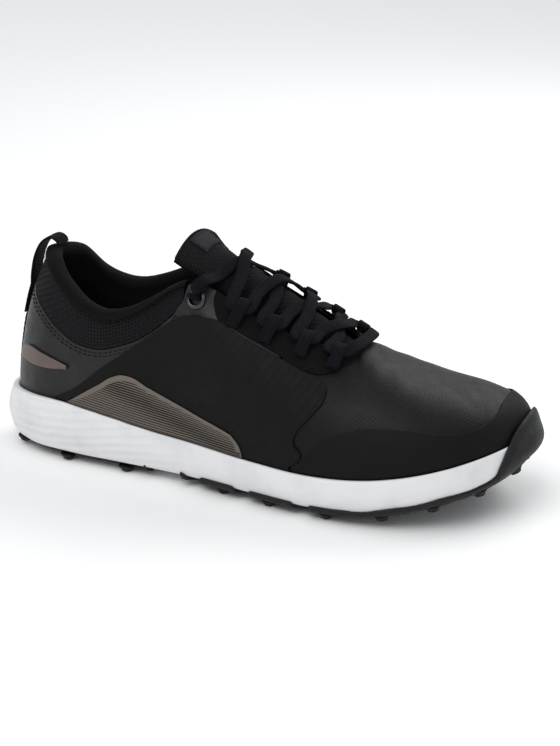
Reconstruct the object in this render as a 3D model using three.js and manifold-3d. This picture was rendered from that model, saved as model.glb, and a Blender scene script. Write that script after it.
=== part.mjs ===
// A right golf shoe, spikeless, men's EU 42-43: upper, midsole, outsole, tongue, lace and the pieces inside.
// Millimetres. +X points to the toe, +Z up, -Y is the lateral (little toe) side. z = 0 is the tip of the studs.
import * as THREE from "three";
import { mergeVertices } from "three/addons/utils/BufferGeometryUtils.js";
import Module from "manifold-3d";

const wasm = await Module();
wasm.setup();

// ---------------------------------------------------------------- driving dimensions
// Widest outline of the sole seen from above, each half from the heel to the toe: x, y.
const LATERAL_OUTLINE = [
  [1, -1], [7.5, -19], [23, -31], [50, -36.5], [85, -38.5], [125, -41.5], [165, -48.5],
  [205, -53.5], [235, -52], [261, -43.5], [282, -28], [294.5, -8], [299.5, 14],
];
const MEDIAL_OUTLINE = [
  [1, -1], [6.5, 17], [21, 29.5], [48, 35.5], [80, 36], [120, 36.5], [155, 42.5],
  [190, 51], [225, 56], [257, 54.5], [282, 46], [295.5, 31], [299.5, 14],
];
// Heights along the shoe: x, z. The ground falls by this angle towards the toe until the end of the script levels it.
const GROUND_TILT = 0.02;
const SOLE_BOTTOM = [
  [0, 13.6], [8, 10], [25, 7.6], [60, 6], [100, 5.2], [150, 4.2], [200, 3.2], [217, 3.6],
  [236, 6], [250, 9.2], [265, 12.7], [280, 17], [290, 21], [296, 25], [300, 28],
];
const FOOTBED = [
  [0, 25], [30, 23], [60, 22], [100, 20], [140, 17], [180, 14.5], [215, 14], [240, 16.5],
  [262, 21], [282, 27], [302, 33],
];
const RIM = [
  [0, 34], [25, 36], [50, 35.5], [75, 32], [100, 28], [130, 25], [160, 22.7], [190, 21.3],
  [215, 22], [240, 25], [265, 30], [285, 35], [302, 38.5],
];
// Top line of the upper, heel to the front of the throat: s (0 heel, 1 toe tip), x, y, z.
const THROAT_END = 0.68;
const LATERAL_TOP = [
  [0, 28, 0, 112], [0.05, 31, -10, 111], [0.1, 37, -19, 107.5], [0.16, 48, -26.5, 98],
  [0.21, 60, -31, 90], [0.26, 74, -33, 86], [0.31, 89, -32, 89.5], [0.35, 101, -29.5, 96.5],
  [0.39, 112, -27.5, 104.5], [0.425, 122, -26, 109], [0.455, 131, -25, 109], [0.49, 142, -25, 104],
  [0.53, 156, -24.8, 96], [0.57, 171, -23.5, 89], [0.61, 187, -20, 82.5], [0.645, 200, -12, 79.5],
  [0.68, 207, 0, 80],
];
const MEDIAL_TOP = [
  [0, 28, 0, 112], [0.05, 31, 10, 111], [0.1, 37, 21, 106.5], [0.15, 46, 30, 94],
  [0.2, 58, 33.5, 88], [0.25, 70, 34, 87.5], [0.3, 84, 32.5, 92], [0.35, 99, 29.5, 99.5],
  [0.39, 111, 27.5, 105.5], [0.425, 122, 26, 109], [0.455, 131, 25, 109], [0.49, 142, 25, 104],
  [0.53, 156, 24.8, 96], [0.57, 171, 23.5, 89], [0.61, 187, 20, 82.5], [0.645, 200, 12, 79.5],
  [0.68, 207, 0, 80],
];
// Ridge of the vamp from the throat towards the toe: share of its length, x, y, z.
const RIDGE = [[0, 207, 0, 80], [0.25, 221, 0.6, 72.8], [0.5, 236, 1.8, 66.3], [0.75, 249, 3.5, 62.2], [1, 261, 5.5, 59.6]];
// How the side of the upper runs from the footbed to the top line, heel to toe: s, value.
const FOOT_INSET = [[0, 6.5], [0.15, 5.5], [0.3, 4.8], [0.5, 4.4], [0.8, 4], [1, 4.5]];
const SIDE_BULGE = [[0, -1.5], [0.06, 0], [0.15, 2], [0.3, 3], [0.5, 2.2], [0.65, 2], [0.8, 2], [0.93, 2.4], [1, 2.5]];
const SIDE_RISE = [[0, 0.36], [0.3, 0.36], [0.5, 0.36], [0.68, 0.42], [0.85, 0.48], [1, 0.5]];
const TOP_ANGLE = [
  [0, 60], [0.04, 64], [0.1, 76], [0.2, 84], [0.3, 84], [0.39, 76], [0.455, 60], [0.52, 46], [0.58, 34],
  [0.64, 18], [0.68, 9], [0.74, 4], [0.82, 0], [1, 0],
];
const TOP_REACH = [[0, 0.3], [0.26, 0.3], [0.455, 0.34], [0.6, 0.42], [0.68, 0.46], [0.8, 0.5], [1, 0.6]];

// ---------------------------------------------------------------- curves
const clamp = (x, lo, hi) => Math.min(Math.max(x, lo), hi);
const mix = (a, b, k) => a + (b - a) * k;
const smooth = (lo, hi, x) => {
  const k = clamp((x - lo) / (hi - lo), 0, 1);
  return k * k * (3 - 2 * k);
};

// A smooth curve through rows of [x, value, value...]; gives the values at any x.
function ramp(rows) {
  const last = rows.length - 1;
  const slope = (i) => rows[i].map((v, c) => (rows[i + 1][c] - v) / (rows[i + 1][0] - rows[i][0]));
  const tangents = rows.map((row, i) => {
    if (i === 0) return slope(0);
    if (i === last) return slope(last - 1);
    const before = row[0] - rows[i - 1][0];
    const after = rows[i + 1][0] - row[0];
    const a = slope(i - 1);
    const b = slope(i);
    return a.map((v, c) => (after * v + before * b[c]) / (before + after));
  });
  return (at) => {
    const x = clamp(at, rows[0][0], rows[last][0]);
    let i = 0;
    while (i < last - 1 && x >= rows[i + 1][0]) i += 1;
    const h = rows[i + 1][0] - rows[i][0];
    const t = (x - rows[i][0]) / h;
    const weights = [2 * t ** 3 - 3 * t ** 2 + 1, (t ** 3 - 2 * t ** 2 + t) * h, -2 * t ** 3 + 3 * t ** 2, (t ** 3 - t ** 2) * h];
    const values = rows[i].map((v, c) =>
      weights[0] * v + weights[1] * tangents[i][c] + weights[2] * rows[i + 1][c] + weights[3] * tangents[i + 1][c]);
    return values.length === 2 ? values[1] : values.slice(1);
  };
}

// One half of the outline by its share of the length, with the other half continuing past both tips.
function outlineHalf(points, other) {
  const run = [other[1], ...points, other[other.length - 2]];
  let length = 0;
  const rows = run.map((p, i) => {
    if (i > 0) length += Math.hypot(p[0] - run[i - 1][0], p[1] - run[i - 1][1]);
    return [length, ...p];
  });
  const start = rows[1][0];
  const full = rows[rows.length - 2][0] - start;
  return ramp(rows.map((row) => [(row[0] - start) / full, row[1], row[2]]));
}
const outlineHalves = [outlineHalf(LATERAL_OUTLINE, MEDIAL_OUTLINE), outlineHalf(MEDIAL_OUTLINE, LATERAL_OUTLINE)];
const topEdges = [
  ramp([[-0.05, ...MEDIAL_TOP[1].slice(1)], ...LATERAL_TOP]),
  ramp([[-0.05, ...LATERAL_TOP[1].slice(1)], ...MEDIAL_TOP]),
];
const ridgeLine = ramp(RIDGE);
const soleBottom = ramp(SOLE_BOTTOM);
const footbed = ramp(FOOTBED);
const rimHeight = ramp(RIM);
const footInset = ramp(FOOT_INSET);
const sideBulge = ramp(SIDE_BULGE);
const sideRise = ramp(SIDE_RISE);
const topAngle = ramp(TOP_ANGLE);
const topReach = ramp(TOP_REACH);

// u runs round the shoe: 0 at the heel, 0 to 1 along the lateral side, 1 at the toe tip, 1 to 2 (or -1 to 0) along the medial side.
function sideOf(u) {
  const turn = ((u % 2) + 2) % 2;
  return turn <= 1 ? { half: 0, s: turn } : { half: 1, s: 2 - turn };
}
function outline(u) {
  const { half, s } = sideOf(u);
  return outlineHalves[half](s);
}
const STEP = 0.002;
function outwardOf(u) {
  const a = outline(u - STEP);
  const b = outline(u + STEP);
  const length = Math.hypot(b[0] - a[0], b[1] - a[1]);
  return [(b[1] - a[1]) / length, -(b[0] - a[0]) / length];
}
const ridgeShare = (s) => smooth(THROAT_END, 1, s);
function topLine(half, s) {
  return new THREE.Vector3(...(s < THROAT_END ? topEdges[half](s) : ridgeLine(ridgeShare(s))));
}
function ridgeUp(s) {
  const k = clamp(ridgeShare(s), 0.02, 0.98);
  const a = ridgeLine(k - 0.02);
  const b = ridgeLine(k + 0.02);
  return new THREE.Vector3(a[2] - b[2], 0, b[0] - a[0]).normalize();
}

// The outer skin of the upper: t = 0 at the footbed, t = 1 at the top line or the ridge of the vamp.
function skin(u, t) {
  const { half, s } = sideOf(u);
  const [ox, oy] = outline(u);
  const [nx, ny] = outwardOf(u);
  const outward = new THREE.Vector3(nx, ny, 0);
  const foot = new THREE.Vector3(ox - nx * footInset(s), oy - ny * footInset(s), 0);
  foot.z = footbed(foot.x);
  const top = topLine(half, s);
  const height = top.distanceTo(foot);
  const low = foot.clone().addScaledVector(outward, sideBulge(s));
  low.z += sideRise(s) * height;
  const across = new THREE.Vector3(foot.x - top.x, foot.y - top.y, 0);
  const width = across.length();
  across.divideScalar(width);
  const turned = smooth(0.5, THROAT_END, s);
  const away = outward.clone().multiplyScalar(1 - turned).addScaledVector(across, turned).normalize();
  const up = ridgeUp(s);
  const level = away.clone().addScaledVector(up, -away.dot(up)).normalize();
  away.lerp(level, smooth(0.6, THROAT_END, s)).normalize();
  const angle = THREE.MathUtils.degToRad(topAngle(s));
  const leaving = away.multiplyScalar(Math.cos(angle)).add(new THREE.Vector3(0, 0, -Math.sin(angle)));
  const span = mix(height, Math.max(width, 18), smooth(0.46, THROAT_END, s));
  const high = top.clone().addScaledVector(leaving, topReach(s) * span);
  const k = 1 - t;
  return foot.multiplyScalar(k ** 3).addScaledVector(low, 3 * k * k * t)
    .addScaledVector(high, 3 * k * t * t).addScaledVector(top, t ** 3);
}
function skinNormal(u, t) {
  const { s } = sideOf(u);
  const at = clamp(t, 0.004, 0.97);
  const along = skin(u + STEP, at).sub(skin(u - STEP, at));
  const upward = skin(u, at + STEP).sub(skin(u, at - STEP));
  const normal = along.cross(upward).normalize();
  const onRidge = smooth(0.86, 1, t) * smooth(THROAT_END - 0.03, THROAT_END, s);
  return normal.lerp(ridgeUp(s), onRidge).normalize();
}
const skinAt = (u, t, h) => skin(u, t).addScaledVector(skinNormal(u, t), h);

// ---------------------------------------------------------------- more dimensions
const GAP = 0.3; // kept between pieces that lie on one another
const BASE_THICKNESS = 1.2; // vamp, quarters, collar textile
const OVERLAY_LOW = 0.45; // underside of the overlays above the base panels
const OVERLAY_HIGH = 1.25;
const LINING_HIGH = -3.4; // outer face of the lining, inside the skin
const LINING_LOW = -4.1;
const QUARTER_FRONT = 0.575; // s where the quarter meets the vamp
const HEEL_SEAM = 0.006;
const COLLAR_FRONT = 0.415;

// Lower edge of the collar textile: s, t.
const COLLAR_SEAM = [
  [0, 0.79], [0.035, 0.767], [0.091, 0.712], [0.134, 0.684], [0.173, 0.668], [0.214, 0.68],
  [0.256, 0.716], [0.288, 0.75], [0.331, 0.775], [0.37, 0.808], [0.397, 0.843], [0.415, 0.9],
];
// Edges of the saddle, the film, the badge, the mudguard and the eyestay on the skin: s, t.
const SADDLE_TOP = [
  [0.422, 0.815], [0.459, 0.818], [0.484, 0.843], [0.511, 0.833], [0.54, 0.815],
  [0.571, 0.775], [0.599, 0.716], [0.621, 0.69], [0.634, 0.623],
];
const SADDLE_REAR = [[0.166, 0.16], [0.198, 0.29], [0.281, 0.637], [0.337, 0.754], [0.422, 0.815]];
const SADDLE_FRONT = [[0.573, 0.075], [0.597, 0.2], [0.587, 0.25], [0.592, 0.318], [0.613, 0.429], [0.631, 0.536], [0.634, 0.623]];
const FILM_TOP = [[0.205, 0.235], [0.253, 0.416], [0.279, 0.5], [0.294, 0.518], [0.309, 0.505], [0.342, 0.409], [0.382, 0.319], [0.427, 0.25], [0.485, 0.2]];
const FILM_REAR = [[0.192, 0.17], [0.205, 0.235]];
const FILM_FRONT = [[0.499, 0.08], [0.496, 0.15], [0.485, 0.2]];
const MUDGUARD_TOP = [
  [0.61, 0.214], [0.644, 0.319], [0.674, 0.34], [0.715, 0.353], [0.777, 0.343], [0.826, 0.315],
  [0.876, 0.33], [0.931, 0.45], [0.97, 0.57], [1, 0.6],
];
const EYESTAY_LOW = [
  [0.474, 0.93], [0.484, 0.865], [0.511, 0.853], [0.54, 0.836], [0.571, 0.797], [0.599, 0.74], [0.622, 0.72],
  [0.65, 0.76], [0.69, 0.86], [0.708, 0.93],
];
const BADGE_LOW = [[0.062, 0.33], [0.1, 0.33], [0.15, 0.37], [0.188, 0.43]];
const BADGE_HIGH = [[0.062, 0.36], [0.075, 0.405], [0.13, 0.445], [0.188, 0.46]];

// ---------------------------------------------------------------- solids from points
const meshes = new THREE.Group();

// A solid from points and triangles: shared points are merged and slivers dropped.
function solidOf(points, triangles) {
  const keys = new Map();
  const positions = [];
  const ids = points.map((p) => {
    const key = p.toArray().map((v) => Math.round(v * 500)).join();
    if (!keys.has(key)) {
      keys.set(key, keys.size);
      positions.push(p.x, p.y, p.z);
    }
    return keys.get(key);
  });
  const index = [];
  const corner = (k) => new THREE.Vector3().fromArray(positions, 3 * k);
  let volume = 0;
  for (const [a, b, c] of triangles) {
    const ring = [ids[a], ids[b], ids[c]];
    if (new Set(ring).size < 3) continue;
    index.push(...ring);
    volume += corner(ring[0]).dot(corner(ring[1]).cross(corner(ring[2])));
  }
  if (volume < 0) index.reverse();
  const geometry = new THREE.BufferGeometry();
  geometry.setAttribute("position", new THREE.Float32BufferAttribute(positions, 3));
  geometry.setIndex(index);
  return geometry;
}

// Triangles of a grid of rows by columns; wrap joins the last row to the first.
function gridTriangles(rows, columns, wrap = false) {
  const triangles = [];
  for (let i = 0; i < (wrap ? rows : rows - 1); i += 1) {
    for (let j = 0; j < columns - 1; j += 1) {
      const a = i * columns + j;
      const b = ((i + 1) % rows) * columns + j;
      triangles.push([a, b, b + 1], [a, b + 1, a + 1]);
    }
  }
  return triangles;
}

// A sheet with thickness from a grid of points: low and high are the two faces' distances along the normal.
// normals may be given; otherwise they come from the grid. Walls close every open edge.
function sheet(grid, low, high, { wrap = false, normals = null } = {}) {
  const rows = grid.length;
  const columns = grid[0].length;
  const all = grid.flat();
  const keys = new Map();
  const ids = all.map((p) => {
    const key = p.toArray().map((v) => Math.round(v * 500)).join();
    if (!keys.has(key)) keys.set(key, keys.size);
    return keys.get(key);
  });
  const centres = [];
  ids.forEach((id, k) => { centres[id] = all[k]; });
  const triangles = gridTriangles(rows, columns, wrap)
    .map((triangle) => triangle.map((k) => ids[k]))
    .filter((triangle) => new Set(triangle).size === 3);
  const directions = centres.map(() => new THREE.Vector3());
  if (normals) {
    normals.flat().forEach((normal, k) => directions[ids[k]].add(normal));
  } else {
    for (const [a, b, c] of triangles) {
      const normal = new THREE.Vector3().subVectors(centres[b], centres[a])
        .cross(new THREE.Vector3().subVectors(centres[c], centres[a]));
      for (const k of [a, b, c]) directions[k].add(normal);
    }
  }
  directions.forEach((d) => d.normalize());
  const value = (face, k) => (typeof face === "function" ? face(k) : face);
  const gridPlace = [];
  ids.forEach((id, k) => { gridPlace[id] = [Math.floor(k / columns) / (rows - 1), (k % columns) / (columns - 1)]; });
  const offset = (face) => centres.map((p, k) => p.clone().addScaledVector(directions[k], value(face, gridPlace[k])));
  const points = [...offset(high), ...offset(low)];
  const count = centres.length;
  const edges = new Set(triangles.flatMap(([a, b, c]) => [a + "_" + b, b + "_" + c, c + "_" + a]));
  const walls = [];
  for (const edge of edges) {
    const [a, b] = edge.split("_").map(Number);
    if (!edges.has(b + "_" + a)) walls.push([b, a, a + count], [b, a + count, b + count]);
  }
  return solidOf(points, [...triangles, ...triangles.map(([a, b, c]) => [a + count, c + count, b + count]), ...walls]);
}

// A solid from closed rings of points; the first and last ring are capped unless it wraps.
function loft(rings, wrap = false) {
  const size = rings[0].length;
  const points = rings.flat();
  const triangles = [];
  for (let i = 0; i < (wrap ? rings.length : rings.length - 1); i += 1) {
    for (let j = 0; j < size; j += 1) {
      const a = i * size + j;
      const b = i * size + ((j + 1) % size);
      const c = ((i + 1) % rings.length) * size + j;
      const d = ((i + 1) % rings.length) * size + ((j + 1) % size);
      triangles.push([a, b, d], [a, d, c]);
    }
  }
  if (!wrap) {
    const last = (rings.length - 1) * size;
    for (let j = 1; j < size - 1; j += 1) {
      triangles.push([0, j + 1, j], [last, last + j, last + j + 1]);
    }
  }
  return solidOf(points, triangles);
}

const manifoldOf = (geometry) => {
  const bare = geometry.clone();
  bare.deleteAttribute("normal");
  bare.deleteAttribute("uv");
  const merged = mergeVertices(bare, 1e-3);
  const solid = new wasm.Manifold(new wasm.Mesh({
    numProp: 3, vertProperties: merged.attributes.position.array, triVerts: new Uint32Array(merged.index.array),
  }));
  return solid;
};
function geometryOf(solid) {
  const made = solid.getMesh();
  const geometry = new THREE.BufferGeometry();
  geometry.setAttribute("position", new THREE.Float32BufferAttribute(made.vertProperties, 3));
  geometry.setIndex(Array.from(made.triVerts));
  return geometry;
}
function add(name, geometry, color, roughness, metalness = 0) {
  const bare = geometry.index ? geometry.toNonIndexed() : geometry;
  bare.computeVertexNormals();
  const mesh = new THREE.Mesh(bare, new THREE.MeshStandardMaterial({ color, roughness, metalness }));
  mesh.name = name;
  meshes.add(mesh);
  return mesh;
}

// ---------------------------------------------------------------- patches of the skin
const even = (from, to, steps) => Array.from({ length: steps + 1 }, (_, i) => mix(from, to, i / steps));
const lerp2 = (a, b, k) => [mix(a[0], b[0], k), mix(a[1], b[1], k)];
// A curve through (s, t) points by its share of their chord length.
function route(points) {
  let length = 0;
  const rows = points.map((p, i) => {
    if (i > 0) length += Math.hypot(p[0] - points[i - 1][0], (p[1] - points[i - 1][1]) * 0.3);
    return [length, ...p];
  });
  return ramp(rows.map(([k, ...p]) => [k / length, ...p]));
}
// The four-sided patch above the rim: the high edge runs forward, the rear and front edges run upward from the rim.
function fourSided(low, highPoints, rearPoints, frontPoints) {
  const high = route(highPoints);
  const rear = route([low(0), ...rearPoints.slice(1)]);
  const front = route([low(1), ...frontPoints.slice(1)]);
  return (a, b) => {
    const flat = lerp2(lerp2(low(0), low(1), a), lerp2(high(0), high(1), a), b);
    const vertical = lerp2(low(a), high(a), b);
    const sideways = lerp2(rear(b), front(b), a);
    return [vertical[0] + sideways[0] - flat[0], vertical[1] + sideways[1] - flat[1]];
  };
}
// Height share t at which the skin passes the rim of the midsole, plus a distance above it.
function rimShare(u, above = 0.4) {
  let low = 0;
  let high = 0.5;
  for (let i = 0; i < 18; i += 1) {
    const t = (low + high) / 2;
    const p = skin(u, t);
    if (p.z < rimHeight(p.x) + above) low = t;
    else high = t;
  }
  return high;
}
const toLoop = (s, medial) => (medial ? 2 - s : s);
// A layer of the upper over a patch(a, b) -> [u, t], between two distances from the skin.
function layer(patch, steps, rises, low, high) {
  const places = even(0, 1, steps).map((a) => even(0, 1, rises).map((b) => patch(a, b)));
  const grid = places.map((row) => row.map(([u, t]) => skin(u, t)));
  const normals = places.map((row) => row.map(([u, t]) => skinNormal(u, t)));
  return sheet(grid, low, high, { normals });
}
// The same layer on the lateral or the medial side, from a patch in (s, t).
function sideLayer(medial, patch, steps, rises, low, high) {
  const turned = (a, b) => {
    const [s, t] = patch(medial ? 1 - a : a, b);
    return [toLoop(s, medial), t];
  };
  return layer(turned, steps, rises, low, high);
}
const sideName = (medial) => (medial ? "medial" : "lateral");
const collarSeam = ramp(COLLAR_SEAM);

// ---------------------------------------------------------------- upper: base panels
const vampPatch = (a, b) => [mix(QUARTER_FRONT + 0.003, 2 - QUARTER_FRONT - 0.003, a), b];
add("vamp", layer(vampPatch, 34, 8, -BASE_THICKNESS, 0), 0x1d1d20, 0.5);

for (const medial of [false, true]) {
  const quarterTop = (s) => {
    if (s < COLLAR_FRONT - 0.002) return collarSeam(s) - 0.012;
    return mix(collarSeam(COLLAR_FRONT) - 0.012, 0.99, smooth(COLLAR_FRONT - 0.002, COLLAR_FRONT + 0.012, s));
  };
  const quarterPatch = (a, b) => {
    const s = mix(HEEL_SEAM, QUARTER_FRONT, a);
    return [s, b * quarterTop(s)];
  };
  const quarter = sideLayer(medial, quarterPatch, 24, 6, -BASE_THICKNESS, 0);
  add("quarter_" + sideName(medial), quarter, 0x242426, 0.45);
  const textilePatch = (a, b) => {
    const s = mix(HEEL_SEAM, COLLAR_FRONT - 0.006, a);
    return [s, mix(collarSeam(s), 0.985, b)];
  };
  add("collar_textile_" + sideName(medial), sideLayer(medial, textilePatch, 20, 3, -BASE_THICKNESS, 0), 0x222224, 0.9);
}

// ---------------------------------------------------------------- upper: overlays
for (const medial of [false, true]) {
  const side = sideName(medial);
  const rimRoute = (from, to) => (a) => {
    const s = mix(from, to, a);
    return [s, rimShare(toLoop(s, medial), 1.3)];
  };
  const saddle = fourSided(rimRoute(SADDLE_REAR[0][0], SADDLE_FRONT[0][0]), SADDLE_TOP, SADDLE_REAR, SADDLE_FRONT);
  const saddleSheet = sideLayer(medial, saddle, 18, 7, OVERLAY_LOW, OVERLAY_HIGH);
  add("saddle_" + side, saddleSheet, 0x1a1a1b, 0.7);
  const film = fourSided(rimRoute(FILM_REAR[0][0], FILM_FRONT[0][0]), FILM_TOP, FILM_REAR, FILM_FRONT);
  add("film_" + side, sideLayer(medial, film, 14, 3, OVERLAY_HIGH + GAP, OVERLAY_HIGH + GAP + 0.5), 0x6e645e, 0.35, 0.6);
  const badge = (a, b) => lerp2(route(BADGE_LOW)(a), route(BADGE_HIGH)(a), b);
  add("badge_" + side, sideLayer(medial, badge, 8, 2, OVERLAY_LOW, OVERLAY_HIGH), 0x8a7d76, 0.35, 0.7);
  const eyestayLow = ramp(EYESTAY_LOW);
  const eyestay = (a, b) => {
    const s = mix(0.474, 0.708, a);
    return [s, mix(eyestayLow(s), mix(0.99, 0.975, smooth(0.66, 0.68, s)), b)];
  };
  add("eyestay_" + side, sideLayer(medial, eyestay, 20, 2, OVERLAY_LOW, OVERLAY_HIGH), 0x202022, 0.9);
}
const mudguardTop = ramp(MUDGUARD_TOP);
const mudguardPatch = (a, b) => {
  const lean = mix(0.577, 0.613, b);
  const u = mix(lean, 2 - lean, a);
  return [u, mix(rimShare(u, 1.3), mudguardTop(Math.max(sideOf(u).s, 0.61)), b)];
};
add("mudguard", layer(mudguardPatch, 38, 3, OVERLAY_LOW, OVERLAY_HIGH), 0x19191a, 0.65);
const STRIP_HALF = 0.02;
const stripPatch = (a, b) => {
  const u = mix(-STRIP_HALF, STRIP_HALF, a);
  return [u, mix(rimShare(u, 1.3), 0.53, b)];
};
add("heel_strip", layer(stripPatch, 4, 5, OVERLAY_LOW, OVERLAY_HIGH), 0x1c1c1e, 0.5);

// ---------------------------------------------------------------- upper: inside
const COUNTER_REACH = 0.27;
const counterTop = ramp([[0, 0.56], [0.12, 0.5], [0.2, 0.4], [COUNTER_REACH, 0.26]]);
const counterPatch = (a, b) => {
  const u = mix(-COUNTER_REACH, COUNTER_REACH, a);
  return [u, mix(0.03, counterTop(Math.abs(u)), b)];
};
add("heel_counter", layer(counterPatch, 20, 3, -2.9, -BASE_THICKNESS - GAP), 0x8f8a80, 0.8);
const PUFF_FROM = 0.86;
const puffTop = ramp([[PUFF_FROM, 0.3], [0.93, 0.62], [1, 0.78]]);
const puffPatch = (a, b) => {
  const u = mix(PUFF_FROM, 2 - PUFF_FROM, a);
  return [u, mix(0.04, puffTop(sideOf(u).s), b)];
};
add("toe_puff", layer(puffPatch, 14, 4, -2.7, -BASE_THICKNESS - 2 * GAP), 0x8f8a80, 0.8);
const LINING_FROM = 0.425;
const vampLiningPatch = (a, b) => [mix(LINING_FROM, 2 - LINING_FROM, a), mix(0.02, 0.985, b)];
add("vamp_lining", layer(vampLiningPatch, 30, 6, LINING_LOW, LINING_HIGH), 0x2b2b2e, 0.95);

// The padded collar: a roll over the top line, then down the inside to the footbed.
const rollRadius = ramp([[0, 3.4], [0.1, 4], [0.3, 4], [0.36, 2.6], [0.42, 1.5]]);
const COLLAR_END = LINING_FROM - 0.006;
const ROLL_STEPS = 4;
function collarFrame(u) {
  const top = skin(u, 1);
  const up = skin(u, 1).sub(skin(u, 0.96)).normalize();
  return { top, up, out: skinNormal(u, 1) };
}
// Depth of the collar lining behind the skin, from the roll down to the heel counter.
const liningDepth = (s, t) => mix(-LINING_LOW - 0.35, 2 * rollRadius(s) + 0.3, smooth(0.46, 0.8, t));
function liningRow(u) {
  const { s } = sideOf(u);
  const radius = rollRadius(s);
  const { top, up, out } = collarFrame(u);
  const row = [top.clone().addScaledVector(out, 0.5).addScaledVector(up, 0.55)];
  for (let k = 0; k <= ROLL_STEPS; k += 1) {
    const turn = (k / ROLL_STEPS) * Math.PI;
    row.push(top.clone().addScaledVector(out, -0.3 - radius * (1 - Math.cos(turn)))
      .addScaledVector(up, 0.6 + 0.6 * radius * Math.sin(turn)));
  }
  for (const t of [0.92, 0.8, 0.68, 0.56, 0.4, 0.2, 0.03]) row.push(skinAt(u, t, -liningDepth(s, t)));
  return row;
}
const liningRows = even(-COLLAR_END, COLLAR_END, 28).map(liningRow);
add("collar_lining", sheet(liningRows, -0.35, 0.35), 0x1e1e21, 0.95);

// Foam between the collar textile and the lining.
const FOAM_END = 0.4;
const FOAM_SHARES = [0.62, 0.7, 0.8, 0.9, 0.96];
function foamRing(u) {
  const { s } = sideOf(u);
  const outer = FOAM_SHARES.map((t) => skinAt(u, t, -BASE_THICKNESS - GAP));
  const inner = FOAM_SHARES.map((t) => skinAt(u, t, -Math.max(liningDepth(s, t) - 0.8, BASE_THICKNESS + GAP + 0.2))).reverse();
  return [...outer, ...inner];
}
add("collar_foam", loft(even(-FOAM_END, FOAM_END, 26).map(foamRing)), 0xcfc9b8, 0.95);

// ---------------------------------------------------------------- sole
const SOLE_STEPS = 64;
const RIM_INSET = ramp([[0, 3.3], [0.12, 2.2], [0.3, 1.5], [0.9, 1.5], [1, 1.8]]);
const SPINE_REAR = 34;
const SPINE_FRONT = 270;
// The middle line of the sole, shared by both sides.
function spine(u) {
  const { s } = sideOf(u);
  const a = outlineHalves[0](s);
  const b = outlineHalves[1](s);
  return new THREE.Vector3(clamp((a[0] + b[0]) / 2, SPINE_REAR, SPINE_FRONT), mix(0, 10, smooth(0.5, 1, s)), 0);
}
function fromOutline(u, inset, z) {
  const [x, y] = outline(u);
  const [nx, ny] = outwardOf(u);
  const p = new THREE.Vector3(x - nx * inset, y - ny * inset, 0);
  p.z = typeof z === "function" ? z(p.x) : z;
  return p;
}
// Outside of the midsole from under the foot up to the rim.
function soleSide(u) {
  const { s } = sideOf(u);
  const [x] = outline(u);
  const bottom = soleBottom(x);
  const rim = rimHeight(x);
  const inset = RIM_INSET(s);
  return [
    fromOutline(u, 7, soleBottom),
    fromOutline(u, 2.6, bottom + 1.6),
    fromOutline(u, 0.8, mix(bottom, rim, 0.26)),
    fromOutline(u, 0, mix(bottom, rim, 0.5)),
    fromOutline(u, inset * 0.35, mix(bottom, rim, 0.75)),
    fromOutline(u, inset, rim),
  ];
}
const FLOOR_DROP = GAP;
function midsoleRow(u) {
  const low = spine(u);
  low.z = soleBottom(low.x);
  const share = rimShare(u, 0);
  const wall = [1, 0.66, 0.33, 0].map((k) => skinAt(u, share * k, 0.35));
  const floor = skinAt(u, 0, 0.35);
  floor.z -= FLOOR_DROP;
  wall[3] = floor;
  const high = spine(u);
  high.z = footbed(high.x) - FLOOR_DROP;
  const middle = floor.clone().lerp(high, 0.5);
  middle.z = footbed(middle.x) - FLOOR_DROP;
  return [low, fromOutline(u, 18, soleBottom), ...soleSide(u), ...wall, middle, high];
}
const loopShares = even(0, 2, SOLE_STEPS).slice(0, -1);
// A solid from rows that start and end on the spine, where the two sides close on each other.
function soleSolid(rowOf) {
  const rows = loopShares.map(rowOf);
  return solidOf(rows.flat(), gridTriangles(rows.length, rows[0].length, true));
}
add("midsole", soleSolid(midsoleRow), 0xf1f1ee, 0.6);

// Outsole: a rubber sheet that follows the midsole at a small gap, wavy at its edge and rising over the toe.
const PLATE = 2.1;
const SOLE_GAP = 0.4;
const REAR_EDGE = 118;
const HEEL_EDGE = 100;
const WAVES = 11;
const WRAP_STEPS = 5;
const BUMPER_FROM = 0.935;
const FULL_WRAP = 0.74;
const bumperTop = ramp([[0.88, 0.2], [BUMPER_FROM, 0.34], [0.985, 0.4], [1, 0.4]]);
// How far up the side of the sole the rubber goes, as a share of the points of soleSide.
function wrapEnd(u) {
  const { s } = sideOf(u);
  const wave = 0.5 - 0.5 * Math.cos(s * WAVES * 2 * Math.PI);
  return mix(mix(0.3, 1.1 + wave * 0.5, smooth(0.34, 0.38, s)), WRAP_STEPS, smooth(0.66, FULL_WRAP, s));
}
function outsoleRow(u) {
  const { s } = sideOf(u);
  const start = spine(u);
  start.z = soleBottom(start.x);
  const side = soleSide(u);
  const end = wrapEnd(u);
  const row = [start, fromOutline(u, 18, soleBottom), side[0]];
  for (let k = 1; k <= WRAP_STEPS; k += 1) {
    const at = Math.min(k, end);
    const i = Math.min(Math.floor(at), WRAP_STEPS - 1);
    row.push(side[i].clone().lerp(side[i + 1], at - i));
  }
  const last = row[row.length - 1];
  if (s < 0.88) return [...row, last.clone(), last.clone()];
  const share = rimShare(u, 2);
  return [...row, skinAt(u, share, 2.3), skinAt(u, Math.max(bumperTop(s), share + 0.01), 2.3)];
}
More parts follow.
